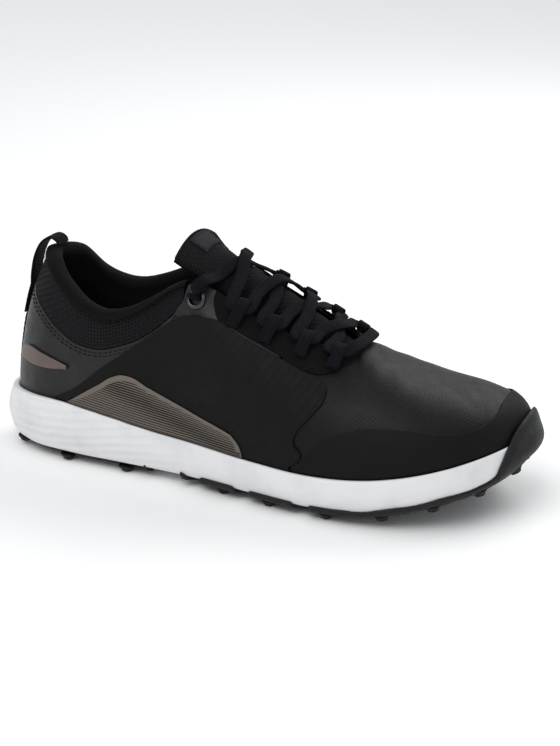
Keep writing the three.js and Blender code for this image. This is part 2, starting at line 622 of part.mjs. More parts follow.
// Side view of what is kept: everything at the rear, then a wavy edge above the bottom, then the toe bumper.
const CUT_FROM = 206;
const BUMPER_EDGE = [[289, 31], [291, 40], [294, 47.5], [299, 50], [330, 50]];
const edgeLine = even(CUT_FROM, BUMPER_EDGE[0][0] - 2, 22)
  .map((x) => [x, soleBottom(x) + 4.4 + 1.3 * Math.sin((x - CUT_FROM) * 0.24)]);
const keptShape = new THREE.Shape([[REAR_EDGE, -20], [330, -20], ...BUMPER_EDGE.slice().reverse(), ...edgeLine.reverse(), [CUT_FROM, 70], [REAR_EDGE, 70]]
  .map((p) => new THREE.Vector2(...p)));
const keptPrism = new THREE.ExtrudeGeometry(keptShape, { depth: 140, bevelEnabled: false }).rotateX(Math.PI / 2).translate(0, 70, 0);
const outsoleRows = loopShares.map(outsoleRow);
const outsoleSheet = manifoldOf(sheet(outsoleRows, SOLE_GAP, SOLE_GAP + PLATE, { wrap: true }));
const boxOf = (x0, x1) => manifoldOf(new THREE.BoxGeometry(x1 - x0, 140, 80).translate((x0 + x1) / 2, 0, 30));
const STUD_TIP = 2.6;
const STUD_ROOT = 4;
const STUD_SINK = 1;
function stud(x, y) {
  const plate = soleBottom(x) - SOLE_GAP - PLATE;
  const slope = Math.atan2(soleBottom(x + 1) - soleBottom(x - 1), 2);
  const height = soleBottom(100) - SOLE_GAP - PLATE;
  const profile = [[0, -height], [STUD_TIP, -height], [STUD_ROOT, 0], [STUD_ROOT, STUD_SINK], [0, STUD_SINK]];
  const shape = new THREE.LatheGeometry(profile.map((p) => new THREE.Vector2(...p)), 8);
  shape.rotateX(Math.PI / 2).rotateY(-slope).translate(x, y, plate);
  return manifoldOf(shape);
}
// The tips that reach the ground are cut level with it, so the shoe rests on flat faces.
const GROUND_LEVEL = 2.15; // height of the ground line under the heel's back
const belowGround = manifoldOf(new THREE.BoxGeometry(700, 200, 20).translate(0, 0, -10)
  .rotateY(GROUND_TILT).translate(0, 0, GROUND_LEVEL));
function studded(plate, studs) {
  let solid = plate;
  for (const [x, y] of studs) solid = solid.add(stud(x, y));
  return geometryOf(solid.subtract(belowGround));
}
const edgeStud = (u) => fromOutline(u, 7.5, 0).toArray().slice(0, 2);
const forefootStuds = [
  ...[0.455, 0.536, 0.633, 0.721, 0.8, 0.88, 0.965].flatMap((s) => [edgeStud(s), edgeStud(2 - s)]),
  ...[[140, -12], [140, 12], [168, -20], [168, 20], [196, -22], [196, 26], [224, -20], [224, 30],
    [154, 0], [182, 2], [210, 4], [238, 6], [262, 12]],
];
const heelStuds = [
  ...[0.07, 0.182, 0.287].flatMap((s) => [edgeStud(s), edgeStud(2 - s)]),
  ...[[26, 0], [44, -12], [44, 12], [62, 0], [80, -12], [80, 12]],
];
add("outsole_forefoot", studded(outsoleSheet.intersect(manifoldOf(keptPrism)), forefootStuds), 0x202021, 0.8);
add("outsole_heel", studded(outsoleSheet.intersect(boxOf(-10, HEEL_EDGE)), heelStuds), 0x202021, 0.8);

// Board the upper is stitched to, and the sockliner on it.
const BOARD = 1.4;
const SOCK = 4;
function insideRow(inset, lift, rise) {
  return (u) => {
    const edge = skinAt(u, 0, -inset);
    const start = spine(u);
    const row = [start, start.clone().lerp(edge, 0.45), start.clone().lerp(edge, 0.85), edge];
    return row.map((p, k) => new THREE.Vector3(p.x, p.y, footbed(p.x) + lift + (k === 3 ? rise : 0)));
  };
}
const insideShares = even(0, 2, 44).slice(0, -1);
// The board is a sheet of rows from the lateral edge to the medial edge, closer together at heel and toe.
const BOARD_INSET = 4.6;
const boardRows = even(0, Math.PI, 28).map((turn) => {
  const s = mix(0.02, 0.98, (1 - Math.cos(turn)) / 2);
  const lateral = skinAt(s, 0, -BOARD_INSET);
  const medial = skinAt(2 - s, 0, -BOARD_INSET);
  return even(0, 1, 4).map((k) => {
    const p = lateral.clone().lerp(medial, k);
    p.z = footbed(p.x) + BOARD / 2;
    return p;
  });
});
add("strobel_board", sheet(boardRows, -BOARD / 2, BOARD / 2), 0xd8d4c8, 0.9);
const sockRows = insideShares.map(insideRow(8, BOARD + GAP + SOCK / 2, 1.5));
add("sockliner", sheet(sockRows, -SOCK / 2, SOCK / 2, { wrap: true }), 0x2d2d31, 0.95);

// ---------------------------------------------------------------- tongue
// Crest of the tongue from its root under the vamp to its top: x, z of the outer face, half width, drop at the edges.
const TONGUE = [
  [222, 66, 14, 5], [207, 73.8, 17, 8.5], [196, 81.5, 19, 13], [185, 89, 20, 16], [170, 98.5, 21, 18.5],
  [155, 106.5, 20.5, 17], [141, 113.5, 19.5, 13], [130, 119.5, 20.3, 10.5], [120, 125.5, 24, 9.6], [114, 129, 26.5, 7.8],
];
const tongueLine = (() => {
  let length = 0;
  const rows = TONGUE.map((p, i) => {
    if (i > 0) length += Math.hypot(p[0] - TONGUE[i - 1][0], p[1] - TONGUE[i - 1][1]);
    return [length, ...p];
  });
  return ramp(rows.map(([k, ...p]) => [k / length, ...p]));
})();
// A point of the tongue: k from root to top, w from -1 (lateral) to 1, h above its outer face.
function tongueAt(k, w, h = 0) {
  const [x, z, width, drop] = tongueLine(k);
  const a = tongueLine(k - 0.01);
  const b = tongueLine(k + 0.01);
  const run = new THREE.Vector3(b[0] - a[0], 0, b[1] - a[1]).normalize();
  const up = new THREE.Vector3(run.z, 0, -run.x);
  const bend = Math.atan2(2 * drop * w, width);
  const point = new THREE.Vector3(x, w * width, z - drop * w * w);
  const normal = up.multiplyScalar(Math.cos(bend));
  normal.y += Math.sin(bend);
  return point.addScaledVector(normal, h);
}
function tongueSheet(k0, k1, steps, halfWidth, across, low, high) {
  const grid = even(k0, k1, steps).map((k) => even(halfWidth, -halfWidth, across).map((w) => tongueAt(k, w)));
  return sheet(grid, low, high);
}
const TONGUE_SKIN = 1;
add("tongue_skin", tongueSheet(0, 1, 16, 1, 8, -TONGUE_SKIN, 0), 0x1c1c1f, 0.8);
// The foam is thickest in the middle and thins towards the edges.
const foamDepth = ([k, w]) => -TONGUE_SKIN - GAP - 0.6 - 3.4 * Math.sin(Math.PI * clamp(w, 0.02, 0.98)) * smooth(0, 0.3, k);
add("tongue_foam", tongueSheet(0.04, 0.975, 12, 0.94, 6, foamDepth, -TONGUE_SKIN - GAP), 0xcfc9b8, 0.95);
const liningFace = (extra) => ([k, w]) => foamDepth([0.04 + 0.935 * k, 0.03 + 0.94 * w]) - GAP * 1.6 - extra;
add("tongue_lining", tongueSheet(0, 1, 14, 1, 8, liningFace(0.8), liningFace(0)), 0x252528, 0.95);
add("tongue_label", tongueSheet(0.9, 0.985, 3, 0.42, 4, GAP, GAP + 0.7), 0x3a3a3d, 0.6);

// ---------------------------------------------------------------- lace, its loops and rings
const LACE_RADIUS = 1.9;
const LOOP_PLACES = [[0.514, 0.975], [0.558, 0.975], [0.6, 0.965], [0.64, 0.885]];
const LOOP_HALF = 2.5;
const LOOP_BAND = 0.9;
const RING_PLACE = [0.443, 0.905];
const RING_HOLE = 3;
const RING_OUTER = 5.4;

// Local frame on the skin: place, outward, up the side towards the throat, and forward along the edge.
function placeFrame(s, t, medial) {
  const u = toLoop(s, medial);
  const place = skin(u, t);
  const out = skinNormal(u, t);
  const rise = skin(u, t).sub(skin(u, t - 0.03)).normalize();
  rise.addScaledVector(out, -rise.dot(out)).normalize();
  const forward = new THREE.Vector3().crossVectors(rise, out).multiplyScalar(medial ? -1 : 1).normalize();
  return { place, out, rise, forward };
}
const offsetFrom = ({ place, out, rise, forward }, h, r, f) =>
  place.clone().addScaledVector(out, h).addScaledVector(rise, r).addScaledVector(forward, f);
// The eye of a loop, where the lace turns.
const EYE_HEIGHT = 5.6;
const EYE_RISE = 0.5;
function loopBand(frame) {
  const eye = LACE_RADIUS + 1.2 + LOOP_BAND / 2;
  const path = [[2, -11], [2, -5]];
  for (let k = 0; k <= 6; k += 1) {
    const turn = -Math.PI / 2 + (k / 6) * Math.PI;
    path.push([EYE_HEIGHT + eye * Math.sin(turn), EYE_RISE + eye * Math.cos(turn)]);
  }
  path.push([5.6, -6.5], [3.5, -11]);
  const grid = path.map(([h, r]) => [-LOOP_HALF, LOOP_HALF].map((f) => offsetFrom(frame, h, r, f)));
  return sheet(grid, -LOOP_BAND / 2, LOOP_BAND / 2);
}
const frames = {};
for (const medial of [false, true]) {
  const side = sideName(medial);
  LOOP_PLACES.forEach(([s, t], i) => {
    frames[side + i] = placeFrame(s, t, medial);
    add("lace_loop_" + side + "_" + (i + 1), loopBand(frames[side + i]), 0x1a1a22, 0.85);
  });
  const frame = placeFrame(...RING_PLACE, medial);
  frames[side + "ring"] = frame;
  const profile = [
    [RING_HOLE, -BASE_THICKNESS - 0.9], [RING_HOLE + 0.7, -BASE_THICKNESS - 0.9], [RING_HOLE + 0.7, 0.4],
    [RING_OUTER, 0.4], [RING_OUTER - 0.5, 1.6], [RING_HOLE + 0.8, 2.1], [RING_HOLE, 1.5], [RING_HOLE, -BASE_THICKNESS - 0.9],
  ];
  const ring = new THREE.LatheGeometry(profile.map((p) => new THREE.Vector2(...p)), 16);
  const turned = new THREE.Matrix4().makeBasis(frame.rise.clone().cross(frame.out).negate(), frame.out, frame.rise).setPosition(frame.place);
  ring.applyMatrix4(turned);
  add("eyelet_ring_" + side, ring, 0x4a4a4e, 0.35, 0.9);
  // The hole through the quarter and the lining.
  const drill = manifoldOf(new THREE.CylinderGeometry(RING_HOLE + 1, RING_HOLE + 1, 16, 12).applyMatrix4(turned));
  for (const name of ["quarter_" + side, "vamp_lining"]) {
    const mesh = meshes.getObjectByName(name);
    const cut = geometryOf(manifoldOf(mesh.geometry).subtract(drill)).toNonIndexed();
    cut.computeVertexNormals();
    mesh.geometry = cut;
  }
}

// Where along the tongue a place lies, by its x.
function tongueShare(x) {
  let low = 0;
  let high = 1;
  for (let i = 0; i < 20; i += 1) {
    const k = (low + high) / 2;
    if (tongueLine(k)[0] > x) low = k;
    else high = k;
  }
  return high;
}
const OVER_TONGUE = LACE_RADIUS + 1.3;
const CROSS_LIFT = 2 * LACE_RADIUS + 0.5;
// The lace from one loop to another across the tongue; lifted where it crosses over another span.
function span(from, to, lifted) {
  const a = offsetFrom(from, EYE_HEIGHT, EYE_RISE, 0);
  const b = offsetFrom(to, EYE_HEIGHT, EYE_RISE, 0);
  const points = [];
  for (const share of [0.27, 0.5, 0.73]) {
    const x = mix(a.x, b.x, share);
    const y = mix(a.y, b.y, share);
    const k = tongueShare(x);
    const crossing = share === 0.5 ? 1 : 0.25;
    points.push(tongueAt(k, y / tongueLine(k)[2], OVER_TONGUE + (lifted ? CROSS_LIFT * crossing : 0)));
  }
  // Off the tongue the lace runs straight from the crown to the eye.
  const [near, crown, far] = points;
  near.z = Math.max(near.z, mix(a.z, crown.z, 0.54));
  far.z = Math.max(far.z, mix(b.z, crown.z, 0.54));
  return points;
}
const eyePass = (frame, towards) => [-7.2, 0, 7.2].map((k) => offsetFrom(frame, EYE_HEIGHT, EYE_RISE - Math.abs(k) * 0.12, k * towards));
// Through the ring from outside and down the inside of the quarter.
function ringPass(medial) {
  const frame = frames[sideName(medial) + "ring"];
  const [s, t] = RING_PLACE;
  const u = toLoop(s, medial);
  const inside = [0.06, 0.12, 0.18, 0.24].map((drop) => skinAt(u, t - drop, -9));
  return [offsetFrom(frame, 5, 11, 0), offsetFrom(frame, 7, 6.5, 0), offsetFrom(frame, 5, 1.2, 0), offsetFrom(frame, -5, 0, 0), ...inside];
}
const L = [0, 1, 2, 3].map((i) => frames["lateral" + i]);
const M = [0, 1, 2, 3].map((i) => frames["medial" + i]);
const lacePoints = [
  ...ringPass(true).reverse(), ...span(frames.medialring, L[0], true), ...eyePass(L[0], 1),
  ...span(L[0], M[1], true), ...eyePass(M[1], 1), ...span(M[1], L[2], true), ...eyePass(L[2], 1),
  ...span(L[2], M[3], true), ...eyePass(M[3], 1),
  offsetFrom(M[3], EYE_HEIGHT + 0.5, 6, 10), offsetFrom(L[3], EYE_HEIGHT + 0.5, 6, 10),
  ...eyePass(L[3], -1), ...span(L[3], M[2], false), ...eyePass(M[2], -1), ...span(M[2], L[1], false), ...eyePass(L[1], -1),
  ...span(L[1], M[0], false), ...eyePass(M[0], -1), ...span(M[0], frames.lateralring, false), ...ringPass(false),
];
const laceCurve = new THREE.CatmullRomCurve3(lacePoints, false, "centripetal");
const LACE_SIDES = 8;
const LACE_TURN = 0.38; // most a step of the lace may turn, in radians
const LACE_STEP = 15; // and its longest step
// Rings along the lace: close together where it turns, far apart where it runs straight.
function laceRings() {
  const samples = laceCurve.getSpacedPoints(900);
  const tangentAt = (i) => samples[Math.min(i + 1, 900)].clone().sub(samples[Math.max(i - 1, 0)]).normalize();
  const kept = [0];
  for (let i = 1; i < 900; i += 1) {
    const previous = kept[kept.length - 1];
    const turned = tangentAt(previous).angleTo(tangentAt(i));
    if (turned > LACE_TURN || samples[previous].distanceTo(samples[i]) > LACE_STEP) kept.push(i);
  }
  kept.push(900);
  let side = new THREE.Vector3(0, 1, 0);
  return kept.map((i) => {
    const along = tangentAt(i);
    side = side.clone().addScaledVector(along, -side.dot(along)).normalize();
    const other = new THREE.Vector3().crossVectors(along, side);
    return even(0, 2 * Math.PI, LACE_SIDES).slice(0, -1).map((turn) => samples[i].clone()
      .addScaledVector(side, LACE_RADIUS * Math.cos(turn)).addScaledVector(other, LACE_RADIUS * Math.sin(turn)));
  });
}
add("lace", loft(laceRings()), 0x17171f, 0.9);
for (const [side, end] of [["medial", 0], ["lateral", 1]]) {
  const at = laceCurve.getPointAt(end);
  const away = laceCurve.getTangentAt(end).multiplyScalar(end === 1 ? 1 : -1);
  const tip = new THREE.CylinderGeometry(1.5, 1.5, 12, 10).translate(0, 6 + GAP, 0);
  tip.applyQuaternion(new THREE.Quaternion().setFromUnitVectors(new THREE.Vector3(0, 1, 0), away)).translate(at.x, at.y, at.z);
  add("aglet_" + side, tip, 0x101012, 0.3);
}

// ---------------------------------------------------------------- heel tape and pull loop
const TAPE_HALF = 6;
const TAPE = 1.3;
const tapeRow = ([x, z]) => [new THREE.Vector3(x, TAPE_HALF, z), new THREE.Vector3(x, -TAPE_HALF, z)];
const tapeSheet = (points, steps) => {
  const curve = new THREE.CatmullRomCurve3(points.map(([x, z]) => new THREE.Vector3(x, 0, z)), false, "centripetal");
  return sheet(curve.getSpacedPoints(steps).map((p) => tapeRow([p.x, p.z])), -TAPE / 2, TAPE / 2);
};
const heelBack = [0.56, 0.62, 0.67, 0.72].map((t) => {
  const p = skinAt(0, t, TAPE / 2 + GAP + 0.35);
  return [p.x, p.z];
});
add("heel_tape", tapeSheet(heelBack, 6), 0x17171c, 0.85);
const tapeEnd = heelBack[heelBack.length - 1];
const PULL_LOOP = [[tapeEnd[0] + 0.5, tapeEnd[1] + 1.8], [18, 98], [20.6, 108.5], [25, 115.8], [30.3, 118.6], [34, 117], [34.9, 114.6]];
add("pull_loop", tapeSheet(PULL_LOOP, 14), 0x17171c, 0.85);

// The curves above are drawn with the ground falling slightly towards the toe; here it is levelled,
// the studs are set on z = 0 and the shoe is centred over the origin.
meshes.rotation.y = -GROUND_TILT;
meshes.updateMatrixWorld(true);
const bounds = new THREE.Box3().setFromObject(meshes, true);
meshes.position.set(-(bounds.min.x + bounds.max.x) / 2, -(bounds.min.y + bounds.max.y) / 2, -bounds.min.z);

const group = new THREE.Group();
group.add(meshes);
export default group;
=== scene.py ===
# %% [markdown]
# # A spikeless golf shoe in Blender
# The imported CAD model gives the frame: where every piece is and how it moves. Here each piece gets its
# look. The whole upper follows one curved surface, written as a function of two numbers, so panels, stitches
# and the lace are all laid on it at a chosen height. Lengths are in millimetres until a mesh is made.

# %% Load the frame
import math

import bmesh
import bpy
import numpy as np
from mathutils import Matrix, Vector


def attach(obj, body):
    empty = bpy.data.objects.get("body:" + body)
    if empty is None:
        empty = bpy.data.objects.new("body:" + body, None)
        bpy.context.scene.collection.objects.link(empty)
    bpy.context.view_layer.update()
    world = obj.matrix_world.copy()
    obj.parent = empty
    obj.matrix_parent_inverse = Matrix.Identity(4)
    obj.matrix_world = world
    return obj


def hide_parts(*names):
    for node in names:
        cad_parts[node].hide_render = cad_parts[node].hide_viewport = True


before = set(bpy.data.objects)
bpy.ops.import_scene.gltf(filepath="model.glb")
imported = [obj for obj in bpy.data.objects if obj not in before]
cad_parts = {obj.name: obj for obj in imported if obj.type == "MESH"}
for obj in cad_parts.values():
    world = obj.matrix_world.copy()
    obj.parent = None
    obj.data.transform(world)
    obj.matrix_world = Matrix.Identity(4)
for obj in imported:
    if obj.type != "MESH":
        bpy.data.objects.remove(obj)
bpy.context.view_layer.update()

# %% [markdown]
# ## Curves
# `ramp` draws a smooth curve through rows of numbers. All the outlines of the shoe are ramps.

# %% Curves and easing
def smooth(low, high, x):
    k = np.clip((np.asarray(x, float) - low) / (high - low), 0, 1)
    return k * k * (3 - 2 * k)


def mix(a, b, k):
    return a + (b - a) * k


def ramp(rows):
    rows = np.array(rows, float)
    x, v = rows[:, 0], rows[:, 1:]
    h = np.diff(x)
    slope = np.diff(v, axis=0) / h[:, None]
    before, after = h[:-1, None], h[1:, None]
    inner = (after * slope[:-1] + before * slope[1:]) / (before + after)
    tangent = np.concatenate([slope[:1], inner, slope[-1:]])

    def at(q):
        q = np.clip(np.asarray(q, float), x[0], x[-1])
        i = np.clip(np.searchsorted(x, q, side="right") - 1, 0, len(x) - 2)
        t = ((q - x[i]) / h[i])[..., None]
        step = h[i][..., None]
        found = (
            (2 * t**3 - 3 * t**2 + 1) * v[i]
            + (t**3 - 2 * t**2 + t) * step * tangent[i]
            + (3 * t**2 - 2 * t**3) * v[i + 1]
            + (t**3 - t**2) * step * tangent[i + 1]
        )
        return found[..., 0] if v.shape[1] == 1 else found

    return at


def by_length(points, power=1.0):
    points = np.array(points, float)
    steps = np.linalg.norm(np.diff(points, axis=0), axis=1) ** power
    share = np.concatenate([[0], np.cumsum(steps)])
    return ramp(np.column_stack([share / share[-1], points]))


print("halfway on a ramp from 0 to 10:", ramp([[0, 0], [1, 10]])(0.5))

# %% [markdown]
# ## The sole's outline and the top line
# Each half of the outline runs from the heel to the toe. `s` is the share of that way, and `u` runs round
# the shoe: 0 at the heel, 1 at the toe tip, the lateral side first and the medial side on the way back.

# %% Driving dimensions
LATERAL_OUTLINE = [
    [1, -1], [7.5, -19], [23, -31], [50, -36.5], [85, -38.5], [125, -41.5], [165, -48.5],
    [205, -53.5], [235, -52], [261, -43.5], [282, -28], [294.5, -8], [299.5, 14],
]
MEDIAL_OUTLINE = [
    [1, -1], [6.5, 17], [21, 29.5], [48, 35.5], [80, 36], [120, 36.5], [155, 42.5],
    [190, 51], [225, 56], [257, 54.5], [282, 46], [295.5, 31], [299.5, 14],
]
sole_bottom = ramp([
    [0, 13.6], [8, 10], [25, 7.6], [60, 6], [100, 5.2], [150, 4.2], [200, 3.2], [217, 3.6],
    [236, 6], [250, 9.2], [265, 12.7], [280, 17], [290, 21], [296, 25], [300, 28],
])
footbed = ramp([
    [0, 25], [30, 23], [60, 22], [100, 20], [140, 17], [180, 14.5], [215, 14], [240, 16.5],
    [262, 21], [282, 27], [302, 33],
])
rim_height = ramp([
    [0, 34], [25, 36], [50, 35.5], [75, 32], [100, 28], [130, 25], [160, 22.7], [190, 21.3],
    [215, 22], [240, 25], [265, 30], [285, 35], [302, 38.5],
])
THROAT_END = 0.68
LATERAL_TOP = [
    [0, 28, 0, 112], [0.05, 31, -10, 111], [0.1, 37, -19, 107.5], [0.16, 48, -26.5, 98],
    [0.21, 60, -31, 90], [0.26, 74, -33, 86], [0.31, 89, -32, 89.5], [0.35, 101, -29.5, 96.5],
    [0.39, 112, -27.5, 104.5], [0.425, 122, -26, 109], [0.455, 131, -25, 109], [0.49, 142, -25, 104],
    [0.53, 156, -24.8, 96], [0.57, 171, -23.5, 89], [0.61, 187, -20, 82.5], [0.645, 200, -12, 79.5],
    [0.68, 207, 0, 80],
]
MEDIAL_TOP = [
    [0, 28, 0, 112], [0.05, 31, 10, 111], [0.1, 37, 21, 106.5], [0.15, 46, 30, 94],
    [0.2, 58, 33.5, 88], [0.25, 70, 34, 87.5], [0.3, 84, 32.5, 92], [0.35, 99, 29.5, 99.5],
    [0.39, 111, 27.5, 105.5], [0.425, 122, 26, 109], [0.455, 131, 25, 109], [0.49, 142, 25, 104],
    [0.53, 156, 24.8, 96], [0.57, 171, 23.5, 89], [0.61, 187, 20, 82.5], [0.645, 200, 12, 79.5],
    [0.68, 207, 0, 80],
]
ridge_line = ramp([
    [0, 207, 0, 80], [0.25, 221, 0.6, 72.8], [0.5, 236, 1.8, 66.3],
    [0.75, 249, 3.5, 62.2], [1, 261, 5.5, 59.6],
])
foot_inset = ramp([[0, 6.5], [0.15, 5.5], [0.3, 4.8], [0.5, 4.4], [0.8, 4], [1, 4.5]])
side_bulge = ramp([
    [0, -1.5], [0.06, 0], [0.15, 2], [0.3, 3], [0.5, 2.2], [0.65, 2], [0.8, 2], [0.93, 2.4], [1, 2.5],
])
side_rise = ramp([[0, 0.36], [0.3, 0.36], [0.5, 0.36], [0.68, 0.42], [0.85, 0.48], [1, 0.5]])
top_angle = ramp([
    [0, 60], [0.04, 64], [0.1, 76], [0.2, 84], [0.3, 84], [0.39, 76], [0.455, 60], [0.52, 46], [0.58, 34],
    [0.64, 18], [0.68, 9], [0.74, 4], [0.82, 0], [1, 0],
])
top_reach = ramp([[0, 0.3], [0.26, 0.3], [0.455, 0.34], [0.6, 0.42], [0.68, 0.46], [0.8, 0.5], [1, 0.6]])


def outline_half(points, other):
    run = np.array([other[1], *points, other[-2]], float)
    length = np.concatenate([[0], np.cumsum(np.linalg.norm(np.diff(run, axis=0), axis=1))])
    return ramp(np.column_stack([(length - length[1]) / (length[-2] - length[1]), run]))


halves = [outline_half(LATERAL_OUTLINE, MEDIAL_OUTLINE), outline_half(MEDIAL_OUTLINE, LATERAL_OUTLINE)]
top_edges = [
    ramp([[-0.05, *MEDIAL_TOP[1][1:]], *LATERAL_TOP]),
    ramp([[-0.05, *LATERAL_TOP[1][1:]], *MEDIAL_TOP]),
]
print("outline at the ball:", halves[0](0.7).round(1), halves[1](0.7).round(1))

# %% [markdown]
# ## The skin of the upper
# `skin(u, t)` is a point of the upper's outer face: `t` is 0 at the footbed and 1 at the top line, or on
# the vamp at its ridge. Each rise is one Bezier curve: up from the footbed, then over to the foot's top.

# %% Skin
STEP = 0.002


def unit(v):
    return v / np.maximum(np.linalg.norm(v, axis=-1, keepdims=True), 1e-9)


def side_of(u):
    turn = np.mod(u, 2)
    return turn > 1, np.where(turn <= 1, turn, 2 - turn)


def outline(u):
    medial, s = side_of(u)
    return np.where(medial[..., None], halves[1](s), halves[0](s))


def outward_of(u):
    d = outline(u + STEP) - outline(u - STEP)
    return unit(np.stack([d[..., 1], -d[..., 0]], -1))


def ridge_up(s):
    k = np.clip(smooth(THROAT_END, 1, s), 0.02, 0.98)
    a, b = ridge_line(k - 0.02), ridge_line(k + 0.02)
    return unit(np.stack([a[..., 2] - b[..., 2], 0 * k, b[..., 0] - a[..., 0]], -1))


def upright(xy, z):
    return np.concatenate([xy, np.asarray(z)[..., None]], -1)


def skin(u, t):
    u, t = np.broadcast_arrays(np.asarray(u, float), np.asarray(t, float))
    medial, s = side_of(u)
    outward = upright(outward_of(u), 0 * s)
    foot_xy = outline(u) - outward[..., :2] * foot_inset(s)[..., None]
    foot = upright(foot_xy, footbed(foot_xy[..., 0]))
    edge = np.where(medial[..., None], top_edges[1](s), top_edges[0](s))
    top = np.where((s < THROAT_END)[..., None], edge, ridge_line(smooth(THROAT_END, 1, s)))
    height = np.linalg.norm(top - foot, axis=-1)
    low = foot + outward * side_bulge(s)[..., None]
    low[..., 2] += side_rise(s) * height
    across = foot - top
    across[..., 2] = 0
    width = np.linalg.norm(across, axis=-1)
    across = unit(across)
    turned = smooth(0.5, THROAT_END, s)[..., None]
    away = unit(outward * (1 - turned) + across * turned)
    up = ridge_up(s)
    level = unit(away - up * np.sum(away * up, -1, keepdims=True))
    away = unit(mix(away, level, smooth(0.6, THROAT_END, s)[..., None]))
    angle = np.radians(top_angle(s))[..., None]
    leaving = away * np.cos(angle) + np.array([0, 0, -1.0]) * np.sin(angle)
    span = mix(height, np.maximum(width, 18), smooth(0.46, THROAT_END, s))
    high = top + leaving * (top_reach(s) * span)[..., None]
    t = t[..., None]
    k = 1 - t
    return foot * k**3 + low * 3 * k * k * t + high * 3 * k * t * t + top * t**3


def skin_normal(u, t):
    u, t = np.broadcast_arrays(np.asarray(u, float), np.asarray(t, float))
    at = np.clip(t, 0.004, 0.97)
    along = skin(u + STEP, at) - skin(u - STEP, at)
    upward = skin(u, at + STEP) - skin(u, at - STEP)
    normal = unit(np.cross(along, upward))
    s = side_of(u)[1]
    on_ridge = (smooth(0.86, 1, t) * smooth(THROAT_END - 0.03, THROAT_END, s))[..., None]
    return unit(mix(normal, ridge_up(s), on_ridge))


def skin_at(u, t, h):
    return skin(u, t) + skin_normal(u, t) * np.asarray(h)[..., None]


def rim_share(u, above):
    u = np.asarray(u, float)
    low, high = np.zeros(u.shape), np.full(u.shape, 0.5)
    for _ in range(18):
        t = (low + high) / 2
        p = skin(u, t)
        under = p[..., 2] < rim_height(p[..., 0]) + above
        low, high = np.where(under, t, low), np.where(under, high, t)
    return high


# The drawing's ground falls a little to the toe; the frame levels it and centres the shoe.
GROUND_TILT = 0.02
SHIFT = np.array([-150.90539, -1.73112, -2.14957])


def place(p):
    p = np.asarray(p, float)
    c, s = math.cos(GROUND_TILT), math.sin(GROUND_TILT)
    x = p[..., 0] * c - p[..., 2] * s
    z = p[..., 0] * s + p[..., 2] * c
    return (np.stack([x, p[..., 1], z], -1) + SHIFT) / 1000


print("collar at the heel, in the frame:", place(skin(0.0, 1.0)).round(4))

# %% [markdown]
# ## Making meshes
# `sheet` gives a grid of points two faces, rounds the upper face down near its edges and closes the sides.
# Its UV map is in metres along the surface, so a weave keeps its size and follows the panel.

# %% Mesh tools
def build(name, points, faces, look, uv=None, weld=0, edge=None):
    mesh = bpy.data.meshes.new(name)
    mesh.from_pydata(place(points).tolist(), [], faces)
    if uv is not None:
        corner = np.empty(len(mesh.loops), np.int32)
        mesh.loops.foreach_get("vertex_index", corner)
        layer = mesh.uv_layers.new(name="UVMap")
        layer.data.foreach_set("uv", (np.asarray(uv)[corner] / 1000).astype(np.float32).ravel())
    if edge is not None:
        from_edge = mesh.attributes.new("edge_mm", "FLOAT", "POINT")
        from_edge.data.foreach_set("value", np.asarray(edge, np.float32).ravel())
    made = bmesh.new()
    made.from_mesh(mesh)
    if weld:
        bmesh.ops.remove_doubles(made, verts=made.verts, dist=weld / 1000)
    if made.calc_volume(signed=True) < 0:
        bmesh.ops.reverse_faces(made, faces=made.faces)
    made.to_mesh(mesh)
    made.free()
    mesh.polygons.foreach_set("use_smooth", np.ones(len(mesh.polygons), bool))
    mesh.materials.append(look.material)
    obj = bpy.data.objects.new(name, mesh)
    bpy.context.scene.collection.objects.link(obj)
    return obj


def grid_faces(rows, columns, start=0, wrap=False, flip=False):
    faces = []
    for i in range(rows if wrap else rows - 1):
        a, b = start + i * columns, start + ((i + 1) % rows) * columns
        for j in range(columns - 1):
            quad = [a + j, b + j, b + j + 1, a + j + 1]
            faces.append(quad[::-1] if flip else quad)
    return faces


def lengths(points, axis):
    steps = np.linalg.norm(np.diff(points, axis=axis), axis=-1)
    pad = [(0, 0), (0, 0)]
    pad[axis] = (1, 0)
    return np.pad(np.cumsum(steps, axis), pad)


def sheet(name, points, normals, low, high, look, soft=0.5, open_top=None, open_low=False, weld=0):
    rows, columns = points.shape[:2]
    along, across = lengths(points, 0), lengths(points, 1)
    gap = across[:, -1:] - across
    if not open_low:
        gap = np.minimum(across, gap)
    if open_top is not None:
        gap = np.where(open_top[:, None], across, gap)
    gap = np.minimum(gap, np.minimum(along, along[-1:] - along))
    near = 1 - np.clip(gap / max(soft, 1e-6), 0, 1)
    drop = soft * (1 - np.sqrt(1 - near**2)) if soft else 0 * gap
    upper = points + normals * (high - drop)[..., None]
    lower = points + normals * np.broadcast_to(low, gap.shape)[..., None]
    count = rows * columns
    faces = grid_faces(rows, columns) + grid_faces(rows, columns, count, flip=True)
    for i in range(rows - 1):
        a, b = i * columns, (i + 1) * columns
        if not open_low:
            faces.append([a, a + count, b + count, b])
        if open_top is None or not (open_top[i] and open_top[i + 1]):
            a, b = a + columns - 1, b + columns - 1
            faces.append([a, b, b + count, a + count])
    for j in range(columns - 1):
        faces.append([j, j + 1, j + 1 + count, j + count])
        k = (rows - 1) * columns + j
        faces.append([k + 1, k, k + count, k + 1 + count])
    uv = np.stack([np.broadcast_to(along.mean(1)[:, None], gap.shape), across], -1).reshape(-1, 2)
    both = np.concatenate([upper.reshape(-1, 3), lower.reshape(-1, 3)])
    edge = np.tile(gap.ravel(), 2)
    return build(name, both, faces, look, np.concatenate([uv, uv]), weld, edge)


def graded(count, length, soft=0.6):
    inner = np.linspace(0, 1, count)
    ends = np.array([0.12, 0.35, 0.7, 1.0]) * soft / max(length, 4 * soft)
    return np.unique(np.concatenate([inner, ends, 1 - ends]))


